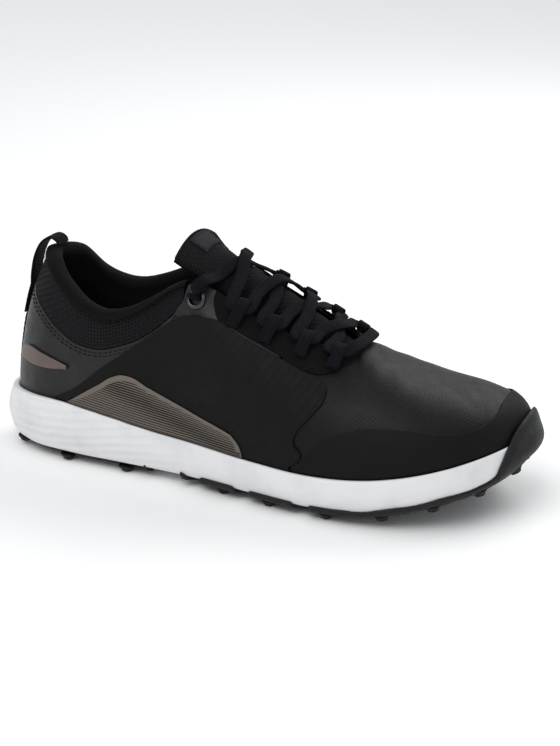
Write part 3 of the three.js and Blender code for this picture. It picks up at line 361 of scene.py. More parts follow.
def layer(name, patch, count, low, high, look, soft=0.5, size=(100, 30), ripple=None, weld=0, open_top=None):
    a, b = np.meshgrid(graded(count[0], size[0]), graded(count[1], size[1]), indexing="ij")
    u, t = patch(a, b)
    points, normals = skin(u, t), skin_normal(u, t)
    top = np.full(u.shape, float(high)) + (ripple(u, t, points) if ripple else 0)
    mask = open_top(u[:, -1]) if open_top else None
    return sheet(name, points, normals, low, top, look, soft, open_top=mask, weld=weld)


def ring_faces(count, sides):
    faces = []
    for i in range(count - 1):
        for j in range(sides):
            k = (j + 1) % sides
            faces.append([i * sides + j, i * sides + k, (i + 1) * sides + k, (i + 1) * sides + j])
    ends = [list(range(sides))[::-1], list(range((count - 1) * sides, count * sides))]
    return faces + ends


def tube(name, points, normals, width, thick, look, sides=14, square=0.75):
    points, normals = np.asarray(points), np.asarray(normals)
    tangent = unit(np.gradient(points, axis=0))
    normals = unit(normals - tangent * np.sum(normals * tangent, -1, keepdims=True))
    side = np.cross(tangent, normals)
    turn = np.linspace(0, 2 * np.pi, sides, endpoint=False)
    c, s = np.cos(turn), np.sin(turn)
    c, s = np.sign(c) * np.abs(c) ** square, np.sign(s) * np.abs(s) ** square
    width, thick = np.broadcast_to(width, len(points)), np.broadcast_to(thick, len(points))
    rings = (
        points[:, None]
        + side[:, None] * (c[None, :, None] * width[:, None, None] / 2)
        + normals[:, None] * (s[None, :, None] * thick[:, None, None] / 2)
    )
    length = np.concatenate([[0], np.cumsum(np.linalg.norm(np.diff(points, axis=0), axis=1))])
    corner = np.minimum(np.arange(sides), sides - np.arange(sides))
    round_way = corner / sides * (width.mean() + thick.mean()) * 2
    uv = np.stack(np.broadcast_arrays(length[:, None], round_way[None]), -1).reshape(-1, 2)
    return build(name, rings.reshape(-1, 3), ring_faces(len(points), sides), look, uv)


WELD = 0.02


def keep(obj, body, slot_name, *nodes):
    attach(obj, body)
    if nodes:
        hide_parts(*nodes)
    return obj


print("mesh tools ready")

# %% [markdown]
# ## Materials
# Every material is procedural. A `Look` starts from the Principled shader and adds patterns whose sizes are
# in millimetres, read from the object's own coordinates or from the UV map when they follow a panel.

# %% Material tools
def colour(text):
    parts = np.array([int(text[i : i + 2], 16) for i in (1, 3, 5)]) / 255
    linear = np.where(parts <= 0.04045, parts / 12.92, ((parts + 0.055) / 1.055) ** 2.4)
    return (*linear.tolist(), 1.0)


def node(tree, kind, inputs=None, **settings):
    made = tree.nodes.new(kind)
    for key, value in settings.items():
        setattr(made, key, value)
    for key, value in (inputs or {}).items():
        if isinstance(value, bpy.types.NodeSocket):
            tree.links.new(value, made.inputs[key])
        else:
            made.inputs[key].default_value = value
    return made


class Look:
    def __init__(self, name, base, roughness, **constants):
        self.material = bpy.data.materials.new(name)
        self.material.use_nodes = True
        self.tree = self.material.node_tree
        self.shader = self.tree.nodes["Principled BSDF"]
        self.shader.inputs["Base Color"].default_value = self.base = colour(base)
        self.material.diffuse_color = self.base
        self.shader.inputs["Roughness"].default_value = roughness
        for key, value in constants.items():
            self.shader.inputs[key.replace("_", " ")].default_value = value
        spots = node(self.tree, "ShaderNodeTexCoord")
        self.places = {}
        for key in ("UV", "Object"):
            values = {0: spots.outputs[key], 1: (1000, 1000, 1000)}
            scaled = node(self.tree, "ShaderNodeVectorMath", values, operation="MULTIPLY")
            self.places[key] = scaled.outputs[0]
        self.normal = None

    def turned(self, degrees, where="UV", axis=2):
        rotation = [0, 0, 0]
        rotation[axis] = math.radians(degrees)
        values = {"Vector": self.places[where], "Rotation": rotation}
        return node(self.tree, "ShaderNodeMapping", values).outputs[0]

    def split(self, where, axis):
        return node(self.tree, "ShaderNodeSeparateXYZ", {0: self.places[where]}).outputs[axis]

    def vector(self, where):
        return self.places[where] if isinstance(where, str) else where

    def noise(self, size, detail=3.0, where="Object", rough=0.5):
        values = {"Vector": self.vector(where), "Scale": 1 / size, "Detail": detail, "Roughness": rough}
        return node(self.tree, "ShaderNodeTexNoise", values).outputs[0]

    def cells(self, size, feature="F1", random=1.0, where="Object"):
        values = {"Vector": self.vector(where), "Scale": 1 / size, "Randomness": random}
        return node(self.tree, "ShaderNodeTexVoronoi", values, feature=feature).outputs["Distance"]

    def bands(self, pitch, direction="X", where="UV", bend=0.0):
        scale = math.pi / (10 * pitch)
        values = {"Vector": self.vector(where), "Scale": scale, "Distortion": bend, "Detail": 1.0}
        return node(self.tree, "ShaderNodeTexWave", values, bands_direction=direction).outputs["Fac"]

    def math(self, operation, a, b=0.0):
        return node(self.tree, "ShaderNodeMath", {0: a, 1: b}, operation=operation).outputs[0]

    def weave(self, pitch, where="UV"):
        values = {"Vector": self.vector(where), "Scale": 1 / pitch}
        squares = node(self.tree, "ShaderNodeTexChecker", values).outputs["Fac"]
        warp = self.math("MULTIPLY", self.bands(pitch, "X", where), squares)
        weft = self.math("MULTIPLY", self.bands(pitch, "Y", where), self.math("SUBTRACT", 1.0, squares))
        return self.math("MAXIMUM", warp, weft)

    def step(self, low, high, value, first=0.0, last=1.0):
        values = {"Value": value, "From Min": low, "From Max": high, "To Min": first, "To Max": last}
        made = node(self.tree, "ShaderNodeMapRange", values, interpolation_type="SMOOTHSTEP")
        return made.outputs["Result"]

    def bump(self, height, depth):
        values = {"Height": height, "Distance": depth / 1000, "Strength": 1.0}
        made = node(self.tree, "ShaderNodeBump", values)
        if self.normal is not None:
            self.tree.links.new(self.normal, made.inputs["Normal"])
        self.normal = made.outputs[0]
        self.tree.links.new(self.normal, self.shader.inputs["Normal"])
        return self

    def tint(self, other, share):
        source = self.shader.inputs["Base Color"]
        old = source.links[0].from_socket if source.links else self.base
        made = node(self.tree, "ShaderNodeMix", data_type="RGBA")
        first, second, factor = made.inputs[6], made.inputs[7], made.inputs[0]
        for socket, value in ((first, old), (second, colour(other)), (factor, share)):
            if isinstance(value, bpy.types.NodeSocket):
                self.tree.links.new(value, socket)
            else:
                socket.default_value = value
        self.tree.links.new(made.outputs[2], source)
        return self

    def rough(self, low, high, share):
        self.tree.links.new(self.step(0, 1, share, low, high), self.shader.inputs["Roughness"])
        return self

    def edge(self):
        return node(self.tree, "ShaderNodeAttribute", attribute_name="edge_mm").outputs["Fac"]


print("colour check:", [round(c, 3) for c in colour("#808080")])

# %% [markdown]
# ## The materials of this shoe
# Grained leather on the quarters, a finer perforated leather on the vamp, matte coated microfibre overlays,
# bronze film, knitted mesh, woven webbing, white EVA foam and black rubber.

# %% Materials
leather = Look("grained_leather", "#0a0a0b", 0.36, IOR=1.5, Specular_IOR_Level=0.34)
leather.bump(leather.cells(1.15, "DISTANCE_TO_EDGE"), 0.16).bump(leather.noise(0.35), 0.03)
leather.bump(leather.noise(14, 2), 0.5).tint("#141415", leather.step(0.35, 0.7, leather.noise(9, 5)))
leather.rough(0.3, 0.52, leather.noise(5, 6))

vamp_leather = Look("perforated_leather", "#060607", 0.42, IOR=1.5, Specular_IOR_Level=0.2)
holes = vamp_leather.step(0.12, 0.3, vamp_leather.cells(1.7, "F1", 0.0, vamp_leather.turned(45)))
vamp_leather.bump(holes, 0.12).bump(vamp_leather.noise(0.5, 4), 0.05)
# The perforations are painted darker than the leather round them: painted shade inside the holes, which the
# bump only dents.
vamp_leather.tint("#020202", vamp_leather.math("SUBTRACT", 1.0, holes))
vamp_leather.rough(0.4, 0.54, vamp_leather.noise(6, 6))

microfibre = Look("coated_microfibre", "#070708", 0.62, IOR=1.48, Specular_IOR_Level=0.16)
microfibre.bump(microfibre.noise(0.4, 5), 0.04).bump(microfibre.cells(0.8, "DISTANCE_TO_EDGE"), 0.04)
microfibre.tint("#0d0d0e", microfibre.noise(12, 5)).rough(0.55, 0.7, microfibre.noise(7, 5))

ridged = Look("ridged_microfibre", "#070708", 0.6, IOR=1.48, Specular_IOR_Level=0.16)
ridges = ridged.bands(4.4, "X", ridged.turned(-32, "Object", axis=1), 0.3)
ridged.bump(ridged.step(0.5, 0.95, ridges), 0.14).bump(ridged.noise(0.4, 5), 0.04)
ridged.tint("#0d0d0e", ridged.noise(12, 5)).rough(0.52, 0.68, ridged.noise(7, 5))

# The film's dark lines are widest along a slanting strip, and stop short of its plain border.
film = Look("bronze_film", "#6b625a", 0.36, IOR=1.5, Metallic=0.55)
along_film, up_film = film.split("UV", 0), film.split("UV", 1)
strip = film.math("SUBTRACT", 27.0, film.math("MULTIPLY", along_film, 0.26))
from_strip = film.math("ABSOLUTE", film.math("SUBTRACT", up_film, strip))
lines = film.math("GREATER_THAN", film.bands(1.45, "Y"), film.step(0, 11, from_strip, 0.22, 0.68))
inside_border = film.math("GREATER_THAN", film.edge(), 3.0)
past_border = film.math("MAXIMUM", inside_border, film.math("LESS_THAN", up_film, 3.2))
past_border = film.math("MULTIPLY", past_border, film.math("GREATER_THAN", film.edge(), 0.5))
lines = film.math("MULTIPLY", lines, past_border)
film.tint("#100e0d", lines).bump(film.math("SUBTRACT", 1.0, lines), 0.08).rough(0.3, 0.44, film.noise(4, 5))

badge_look = Look("moulded_badge", "#5a504a", 0.36, IOR=1.5, Metallic=0.55)
badge_look.bump(badge_look.bands(0.9, "X", badge_look.turned(60)), 0.05)
badge_look.tint("#6d615a", badge_look.noise(8, 4)).rough(0.3, 0.44, badge_look.noise(3, 5))


def textile(name, base, light, pitch, depth, roughness=0.85):
    coat = dict(IOR=1.46, Specular_IOR_Level=0.14, Sheen_Weight=0.01, Sheen_Roughness=0.4)
    look = Look(name, base, roughness, **coat)
    threads = look.weave(pitch)
    look.bump(threads, depth).bump(look.noise(0.25, 3, "UV"), depth / 5)
    # The thread crests are painted in the lighter colour and the gaps between the threads stay dark: painted
    # highlight on the crests and painted shade in the gaps.
    look.tint(light, look.math("MULTIPLY", threads, 0.7))
    look.rough(roughness - 0.08, roughness + 0.08, look.noise(3, 5))
    return look


mesh_cloth = textile("knitted_mesh", "#060607", "#242427", 1.9, 0.4)
lining_cloth = textile("lining_cloth", "#080809", "#101011", 0.6, 0.08)
band_cloth = textile("stay_cloth", "#070708", "#151517", 0.9, 0.16)
tongue_cloth = textile("tongue_cloth", "#070709", "#1e1e20", 1.6, 0.3)
webbing = textile("woven_webbing", "#07070b", "#14141b", 1.0, 0.22)
lace_cloth = textile("woven_lace", "#06060a", "#14141c", 0.8, 0.22)
label_cloth = textile("blank_label", "#252528", "#3d3d41", 0.5, 0.1)
sock_cloth = textile("sockliner_cloth", "#161618", "#2a2a2d", 0.8, 0.12)
board_cloth = textile("insole_board", "#b9b1a0", "#d8d2c4", 0.7, 0.05)
thread = textile("sewing_thread", "#0c0c0e", "#1f1f22", 0.35, 0.06, 0.6)

foam = Look("padding_foam", "#3b3a37", 0.9, IOR=1.4)
foam.bump(foam.cells(0.8), 0.3).tint("#2c2b29", foam.cells(1.2)).rough(0.85, 0.95, foam.noise(2))

stiffener = Look("stiffener_sheet", "#8f8a80", 0.7, IOR=1.5)
stiffener.bump(stiffener.noise(0.8, 5), 0.06).tint("#7a756b", stiffener.noise(5, 4))
stiffener.rough(0.62, 0.78, stiffener.noise(3))

eva = Look("white_eva", "#dededf", 0.55, IOR=1.45, Subsurface_Weight=0.04, Subsurface_Scale=0.002)
at_heel = eva.step(-10, -70, eva.split("Object", 0))
ripples = eva.bands(4.6, "Y", eva.turned(-13), 0.9)
eva.bump(eva.math("MULTIPLY", ripples, at_heel), 0.26).bump(eva.noise(0.6, 5), 0.05)
eva.bump(eva.cells(1.4, "DISTANCE_TO_EDGE"), 0.02)
eva.tint("#d3d3d6", eva.step(0.45, 0.75, eva.noise(20, 4))).rough(0.48, 0.62, eva.noise(4, 5))

rubber = Look("black_rubber", "#0a0a0b", 0.6, IOR=1.52, Specular_IOR_Level=0.3)
rubber.bump(rubber.noise(0.5, 5), 0.06).bump(rubber.cells(1.1, "DISTANCE_TO_EDGE"), 0.05)
rubber.tint("#101011", rubber.noise(9, 5)).rough(0.5, 0.7, rubber.noise(5, 6))

ring_metal = Look("plated_metal", "#3b3b3e", 0.28, IOR=1.5, Metallic=1.0)
ring_metal.bump(ring_metal.noise(0.3, 4), 0.02).tint("#55555a", ring_metal.noise(2, 4))
ring_metal.rough(0.22, 0.38, ring_metal.noise(0.8, 5))
aglet_look = Look("lace_tip", "#0f0f10", 0.25, IOR=1.5, Coat_Weight=0.5, Coat_Roughness=0.1)
aglet_look.bump(aglet_look.noise(1.5, 2), 0.04).tint("#1c1c1e", aglet_look.noise(2))
aglet_look.rough(0.2, 0.32, aglet_look.noise(1))
print("materials:", len(bpy.data.materials))

# %% [markdown]
# ## Rows of stitches
# A seam is a row of points with two directions each: along the seam and out of the surface. One Geometry
# Nodes group puts a thread bump on every point, turned both ways, so all the seams share it.

# %% Geometry Nodes for copies along a row
def link_value(group, source, target_node, name):
    target = [socket for socket in target_node.inputs if socket.name == name and socket.type == "VALUE"][0]
    group.links.new(source, target)


def copies_group():
    group = bpy.data.node_groups.new("copies_along_row", "GeometryNodeTree")
    face = group.interface
    face.new_socket("Geometry", in_out="INPUT", socket_type="NodeSocketGeometry")
    face.new_socket("Item", in_out="INPUT", socket_type="NodeSocketObject")
    face.new_socket("Item Size", in_out="INPUT", socket_type="NodeSocketVector")
    face.new_socket("Wobble", in_out="INPUT", socket_type="NodeSocketFloat")
    face.new_socket("Material", in_out="INPUT", socket_type="NodeSocketMaterial")
    face.new_socket("Geometry", in_out="OUTPUT", socket_type="NodeSocketGeometry")
    start, end = node(group, "NodeGroupInput"), node(group, "NodeGroupOutput")
    given = start.outputs
    item = node(group, "GeometryNodeObjectInfo", {"Object": given["Item"]}).outputs["Geometry"]
    sized = node(group, "GeometryNodeTransform", {"Geometry": item, "Scale": given["Item Size"]})
    along = node(group, "GeometryNodeInputNamedAttribute", {"Name": "along"}, data_type="FLOAT_VECTOR")
    up = node(group, "GeometryNodeInputNamedAttribute", {"Name": "up"}, data_type="FLOAT_VECTOR")
    first = node(group, "FunctionNodeAlignRotationToVector", {"Vector": along.outputs[0]}, axis="X")
    second = node(
        group, "FunctionNodeAlignRotationToVector",
        {"Rotation": first.outputs[0], "Vector": up.outputs[0]}, axis="Z", pivot_axis="X",
    )
    tilt = node(group, "ShaderNodeMath", {0: given["Wobble"], 1: -1.0}, operation="MULTIPLY")
    chance = node(group, "FunctionNodeRandomValue", {"Seed": 7}, data_type="FLOAT")
    link_value(group, tilt.outputs[0], chance, "Min")
    link_value(group, given["Wobble"], chance, "Max")
    found = [socket for socket in chance.outputs if socket.type == "VALUE"][0]
    swing = node(group, "ShaderNodeCombineXYZ", {"Z": found})
    euler = node(group, "FunctionNodeEulerToRotation", {0: swing.outputs[0]})
    turn = node(
        group, "FunctionNodeRotateRotation",
        {"Rotation": second.outputs[0], 1: euler.outputs[0]}, rotation_space="LOCAL",
    )
    placed = node(
        group, "GeometryNodeInstanceOnPoints",
        {"Points": given["Geometry"], "Instance": sized.outputs[0], "Rotation": turn.outputs[0]},
    )
    real = node(group, "GeometryNodeRealizeInstances", {"Geometry": placed.outputs[0]})
    shaded = node(group, "GeometryNodeSetShadeSmooth", {"Geometry": real.outputs[0]})
    values = {"Geometry": shaded.outputs[0], "Material": given["Material"]}
    coated = node(group, "GeometryNodeSetMaterial", values)
    group.links.new(coated.outputs[0], end.inputs[0])
    return group


COPIES = copies_group()


def turned_item(name, profile, sides):
    made = bmesh.new()
    turns = [2 * math.pi * k / sides for k in range(sides)]
    rings = [[made.verts.new((r * math.cos(a), r * math.sin(a), z)) for a in turns] for r, z in profile]
    for lower, upper in zip(rings, rings[1:]):
        for k in range(sides):
            made.faces.new([lower[k], lower[(k + 1) % sides], upper[(k + 1) % sides], upper[k]])
    bmesh.ops.remove_doubles(made, verts=made.verts, dist=1e-6)
    bmesh.ops.holes_fill(made, edges=made.edges)
    bmesh.ops.recalc_face_normals(made, faces=made.faces)
    mesh = bpy.data.meshes.new(name)
    made.to_mesh(mesh)
    made.free()
    return bpy.data.objects.new(name, mesh)


arc = [math.pi * k / 6 - math.pi / 2 for k in range(7)]
STITCH_ITEM = turned_item("stitch_item", [(0.5 * math.cos(a), 0.5 * math.sin(a)) for a in arc], 8)


def copies(name, points, along, up, size, look, wobble=0.06, item=STITCH_ITEM):
    mesh = bpy.data.meshes.new(name)
    mesh.from_pydata(place(points).tolist(), [], [])
    for key, vectors in (("along", along), ("up", up)):
        attribute = mesh.attributes.new(key, "FLOAT_VECTOR", "POINT")
        attribute.data.foreach_set("vector", unit(np.asarray(vectors)).astype(np.float32).ravel())
    obj = bpy.data.objects.new(name, mesh)
    bpy.context.scene.collection.objects.link(obj)
    modifier = obj.modifiers.new("copies", "NODES")
    modifier.node_group = COPIES
    in_metres = [v / 1000 for v in size]
    values = {"Item": item, "Item Size": in_metres, "Wobble": wobble, "Material": look.material}
    for socket in COPIES.interface.items_tree:
        if socket.in_out == "INPUT" and socket.name in values:
            modifier[socket.identifier] = values[socket.name]
    bpy.context.view_layer.update()
    graph = bpy.context.evaluated_depsgraph_get()
    solid = bpy.data.meshes.new_from_object(obj.evaluated_get(graph))
    obj.modifiers.clear()
    obj.data = solid
    return obj


STITCH, THREAD, STITCH_PITCH = 2.5, 0.55, 2.5 * 1.25


def seam(name, points, normals, body="shoe", slot_name="webbing", lift=0.12):
    points, normals = np.asarray(points), np.asarray(normals)
    steps = np.concatenate([[0], np.cumsum(np.linalg.norm(np.diff(points, axis=0), axis=1))])
    fresh = np.concatenate([[True], np.diff(steps) > 1e-6])
    points, normals, steps = points[fresh], normals[fresh], steps[fresh]
    count = max(int(steps[-1] / STITCH_PITCH), 2)
    at = (np.arange(count) + 0.5) / count * steps[-1]
    where = np.stack([np.interp(at, steps, points[:, k]) for k in range(3)], -1)
    out = unit(np.stack([np.interp(at, steps, normals[:, k]) for k in range(3)], -1))
    along = np.stack([np.interp(at, steps, np.gradient(points[:, k], steps)) for k in range(3)], -1)
    obj = copies(name, where + out * lift, along, out, (STITCH, THREAD, THREAD * 0.8), thread)
    return keep(obj, body, slot_name)


def skin_seam(name, u, t, h, **options):
    return seam(name, skin_at(u, t, np.full(len(u), float(h))), skin_normal(u, t), **options)


print("stitch length:", STITCH, "mm")

# %% [markdown]
# ## Base panels
# The vamp wraps the toe in one piece and is welded along its ridge. The quarters and the collar textile are
# laid on each side of it. Heights are measured from the skin, so layers never cross.

# %% Vamp, quarters and collar textile
BASE, LOW, HIGH = 1.2, 0.45, 1.25
TEXTILE_SINK, PANEL_GAP = 0.25, 0.005
SIDES = (("lateral", False), ("medial", True))
QUARTER_FRONT, COLLAR_FRONT = 0.575, 0.415
collar_seam = ramp([
    [0, 0.79], [0.035, 0.767], [0.091, 0.712], [0.134, 0.684], [0.173, 0.668], [0.214, 0.68],
    [0.256, 0.716], [0.288, 0.75], [0.331, 0.775], [0.37, 0.808], [0.397, 0.843], [0.415, 0.9],
])


def sided(patch, medial):
    def turned(a, b):
        s, t = patch(1 - a if medial else a, b)
        return (2 - s if medial else s), t

    return turned


def panel(name, patch, count, low, high, look, slot_name, node_name, **options):
    return keep(layer(name, patch, count, low, high, look, **options), "shoe", slot_name, node_name)


def creases(u, t, points):
    s, x, z = side_of(u)[1], points[..., 0], points[..., 2]
    near = smooth(0.28, 0.4, s) * smooth(0.52, 0.44, s) * smooth(0.45, 0.7, t) * smooth(0.99, 0.88, t)
    return near * 0.45 * np.sin(x * 0.42 + z * 0.55 + 1.5 * np.sin(z * 0.16))


def flex_lines(u, t, points):
    s, x, y = side_of(u)[1], points[..., 0], points[..., 1]
    near = smooth(0.6, 0.7, s) * smooth(0.86, 0.76, s) * smooth(0.5, 0.8, t)
    return near * 0.22 * np.sin(x * 0.5 + y * 0.05 + np.sin(y * 0.12))


def on_ridge(u):
    return side_of(u)[1] >= THROAT_END


def vamp_patch(low_u):
    def patch(a, b):
        return mix(low_u, 2 - low_u, a), b

    return patch


panel(
    "vamp_shell", vamp_patch(QUARTER_FRONT + 0.003), (261, 60), -BASE, 0, vamp_leather,
    "upper_leather", "vamp",
    size=(260, 60), ripple=flex_lines, weld=WELD, open_top=on_ridge,
)
for side, medial in SIDES:
    def quarter_patch(a, b):
        s = mix(0.006, QUARTER_FRONT, a)
        ahead = smooth(COLLAR_FRONT - 0.002, COLLAR_FRONT, s)
        top = mix(collar_seam(s), collar_seam(COLLAR_FRONT), ahead) - PANEL_GAP
        return s, b * mix(top, 0.99, smooth(COLLAR_FRONT, COLLAR_FRONT + 0.009, s))

    panel(
        "quarter_panel_" + side, sided(quarter_patch, medial), (170, 60), -BASE, 0, leather,
        "upper_leather", "quarter_" + side, size=(180, 60), ripple=creases,
    )

    def textile_patch(a, b):
        s = mix(0.006, COLLAR_FRONT + 0.001, a)
        return s, mix(collar_seam(s), 0.985, b)

    panel(
        "collar_mesh_" + side, sided(textile_patch, medial), (140, 24), -BASE, -TEXTILE_SINK, mesh_cloth,
        "mesh_textile", "collar_textile_" + side, soft=0.3, size=(120, 25),
    )
    s = np.linspace(0.03, COLLAR_FRONT - 0.004, 160)
    u = 2 - s if medial else s
    for row, drop in enumerate((0.034, 0.062)):
        skin_seam(f"collar_seam_{side}_{row}", u, collar_seam(s) - drop, 0.05)
print("base panels done")

# %% [markdown]
# ## Overlays
# The saddle, film, badge, eyestay and mudguard each fill a four-sided patch between curves on the skin.

# %% Overlays
def route(points):
    points = np.array(points, float)
    steps = np.hypot(np.diff(points[:, 0]), np.diff(points[:, 1]) * 0.3)
    share = np.concatenate([[0], np.cumsum(steps)])
    return ramp(np.column_stack([share / share[-1], points]))


def four_sided(low, high_points, rear_points, front_points):
    high = route(high_points)
    rear = route([low(np.array(0.0)), *rear_points[1:]])
    front = route([low(np.array(1.0)), *front_points[1:]])

    def patch(a, b):
        a1, b1 = a[..., None], b[..., None]
        corners = mix(
            mix(low(np.array(0.0)), low(np.array(1.0)), a1), mix(high(0.0), high(1.0), a1), b1,
        )
        found = mix(low(a), high(a), b1) + mix(rear(b), front(b), a1) - corners
        return found[..., 0], found[..., 1]

    return patch


def rim_route(start, end, medial):
    def low(a):
        s = mix(start, end, a)
        return np.stack([s, rim_share(2 - s if medial else s, OVER_RIM)], -1)

    return low


FILM_LOW, FILM_HIGH = HIGH + 0.3, HIGH + 0.85
OVER_RIM = 1.3
SADDLE_TOP = [
    [0.422, 0.815], [0.459, 0.818], [0.484, 0.843], [0.511, 0.833], [0.54, 0.815],
    [0.571, 0.775], [0.599, 0.716], [0.621, 0.69], [0.634, 0.623],
]
SADDLE_REAR = [[0.166, 0.16], [0.198, 0.29], [0.281, 0.637], [0.337, 0.754], [0.422, 0.815]]
SADDLE_FRONT = [
    [0.573, 0.075], [0.597, 0.2], [0.587, 0.25], [0.592, 0.318],
    [0.613, 0.429], [0.631, 0.536], [0.634, 0.623],
]
FILM_TOP = [
    [0.205, 0.235], [0.253, 0.416], [0.279, 0.5], [0.294, 0.518], [0.309, 0.505],
    [0.342, 0.409], [0.382, 0.319], [0.427, 0.25], [0.485, 0.2],
]
FILM_REAR = [[0.192, 0.17], [0.205, 0.235]]
FILM_FRONT = [[0.499, 0.08], [0.496, 0.15], [0.485, 0.2]]
BADGE_LOW = [[0.062, 0.33], [0.1, 0.33], [0.15, 0.37], [0.188, 0.43]]
BADGE_HIGH = [[0.062, 0.36], [0.075, 0.405], [0.13, 0.445], [0.188, 0.46]]
eyestay_low = ramp([
    [0.474, 0.93], [0.484, 0.856], [0.511, 0.843], [0.54, 0.825], [0.571, 0.786],
    [0.599, 0.728], [0.622, 0.706], [0.65, 0.76], [0.69, 0.86], [0.708, 0.93],
])


def eyestay_high(s):
    return mix(0.99, 0.975, smooth(0.66, 0.68, s))


def eyestay_patch(a, b):
    s = mix(0.474, 0.708, a)
    return s, mix(eyestay_low(s), eyestay_high(s), b)


def badge_patch(a, b):
    found = mix(route(BADGE_LOW)(a), route(BADGE_HIGH)(a), b[..., None])
    return found[..., 0], found[..., 1]


for side, medial in SIDES:
    saddle = four_sided(rim_route(0.166, 0.573, medial), SADDLE_TOP, SADDLE_REAR, SADDLE_FRONT)
    panel(
        "saddle_panel_" + side, sided(saddle, medial), (150, 60), LOW, HIGH, ridged,
        "overlay", "saddle_" + side, size=(120, 60),
    )
    film_patch = four_sided(rim_route(0.192, 0.499, medial), FILM_TOP, FILM_REAR, FILM_FRONT)
    panel(
        "film_panel_" + side, sided(film_patch, medial), (140, 30), FILM_LOW, FILM_HIGH, film,
        "striped_film", "film_" + side, soft=0.3, size=(100, 20),
    )
    panel(
        "badge_piece_" + side, sided(badge_patch, medial), (60, 12), LOW, HIGH + 0.1, badge_look,
        "badge", "badge_" + side, soft=0.4, size=(40, 5),
    )
    panel(
        "eyestay_band_" + side, sided(eyestay_patch, medial), (150, 16), LOW, HIGH, band_cloth,
        "mesh_textile", "eyestay_" + side, soft=0.4, size=(80, 10),
    )
    s = np.linspace(0.486, 0.7, 110)
    u = 2 - s if medial else s
    skin_seam("eyestay_seam_low_" + side, u, eyestay_low(s) + 0.028, HIGH)
    skin_seam("eyestay_seam_high_" + side, u, eyestay_high(s) - 0.03, HIGH)

mudguard_top = ramp([
    [0.61, 0.214], [0.644, 0.319], [0.674, 0.34], [0.715, 0.353], [0.777, 0.343], [0.826, 0.315],
    [0.876, 0.33], [0.931, 0.45], [0.97, 0.57], [1, 0.6],
])


def mudguard_patch(a, b):
    lean = mix(0.577, 0.613, b)
    u = mix(lean, 2 - lean, a)
    return u, mix(rim_share(u, OVER_RIM), mudguard_top(np.maximum(side_of(u)[1], 0.61)), b)


def strip_patch(a, b):
    u = mix(-0.02, 0.02, a)
    return u, mix(rim_share(u, OVER_RIM), STRIP_TOP, b)


STRIP_TOP = 0.53
panel(
    "mudguard_panel", mudguard_patch, (260, 24), LOW, HIGH, microfibre, "overlay", "mudguard", size=(260, 15),
)
panel(
    "heel_strip_panel", strip_patch, (16, 40), LOW, HIGH, microfibre, "overlay", "heel_strip", size=(12, 40),
)
for row, edge in enumerate((-0.0155, 0.0155)):
    skin_seam(f"heel_strip_seam_{row}", np.full(60, edge), np.linspace(0.24, 0.51, 60), HIGH)
print("overlays done")

# %% [markdown]
# ## Inside the upper
# The counter, toe puff, linings and collar foam sit behind the skin. The collar lining rolls over the top
# line and down to the footbed; its roll is the padded rim that the ankle rests on.

# %% Stiffeners, linings and collar
counter_top = ramp([[0, 0.56], [0.12, 0.5], [0.2, 0.4], [0.27, 0.26]])
puff_top = ramp([[0.86, 0.3], [0.93, 0.62], [1, 0.78]])


def counter_patch(a, b):
    u = mix(-0.27, 0.27, a)
    return u, mix(0.03, counter_top(np.abs(u)), b)


def puff_patch(a, b):
    u = mix(0.86, 1.14, a)
    return u, mix(0.04, puff_top(side_of(u)[1]), b)


LINING_FROM = 0.425


def lining_patch(a, b):
    return mix(LINING_FROM, 2 - LINING_FROM, a), mix(0.02, 1.0, b)


panel("counter_piece", counter_patch, (60, 16), -2.9, -1.5, stiffener, "stiffener", "heel_counter")
panel("puff_piece", puff_patch, (50, 16), -2.7, -1.8, stiffener, "stiffener", "toe_puff")
panel(
    "vamp_lining_cloth", lining_patch, (181, 40), -4.1, -3.4, lining_cloth, "lining", "vamp_lining",
    weld=WELD, open_top=on_ridge,
)

roll_radius = ramp([[0, 3.4], [0.1, 4], [0.3, 4], [0.36, 2.6], [0.42, 1.5]])
COLLAR_END = LINING_FROM - 0.006


def lining_depth(s, t):
    return mix(3.75, 2 * roll_radius(s) + 0.3, smooth(0.46, 0.8, t))


def collar_row(u):
    s = side_of(u)[1]
    radius = roll_radius(s)[:, None]
    top, out = skin(u, 1.0), skin_normal(u, 1.0)
    up = unit(skin(u, 1.0) - skin(u, 0.96))
    rows = [top + out * 0.95 - up * 1.6, top + out * 0.8 + up * 0.55]
    for k in range(5):
        turn = k / 4 * np.pi
        depth, rise = -0.3 - radius * (1 - math.cos(turn)), 0.75 + 0.72 * radius * math.sin(turn)
        rows.append(top + out * depth + up * rise)
    down = (0.92, 0.8, 0.68, 0.56, 0.4, 0.2, 0.03)
    rows += [skin_at(u, np.full(u.shape, t), -lining_depth(s, t)) for t in down]
    return np.stack(rows, 1)


u = np.linspace(-COLLAR_END, COLLAR_END, 200)
points = np.stack([by_length(row)(np.linspace(0, 1, 70)) for row in collar_row(u)])
across, along = np.gradient(points, axis=1), np.gradient(points, axis=0)
normals = unit(np.cross(along, across))
collar = sheet("collar_padding_cover", points, normals, -0.35, 0.35, lining_cloth, soft=0.3)
keep(collar, "shoe", "lining", "collar_lining")
s = np.linspace(0.02, COLLAR_FRONT, 200)
for side, medial in SIDES:
    skin_seam("collar_rim_seam_" + side, 2 - s if medial else s, np.full(200, 0.972), 1.15)


def foam_ring(u):
    s = side_of(u)[1]
    shares = (0.62, 0.7, 0.8, 0.9, 0.96)
    outer = [skin_at(u, np.full(u.shape, t), np.full(u.shape, -1.5)) for t in shares]
    inner = [skin_at(u, np.full(u.shape, t), -np.maximum(lining_depth(s, t) - 0.8, 1.7)) for t in shares]
    return np.stack(outer + inner[::-1], 1)


rings = foam_ring(np.linspace(-0.4, 0.4, 90))
collar_pad = build("collar_pad", rings.reshape(-1, 3), ring_faces(*rings.shape[:2]), foam)
keep(collar_pad, "shoe", "foam", "collar_foam")
print("linings done")

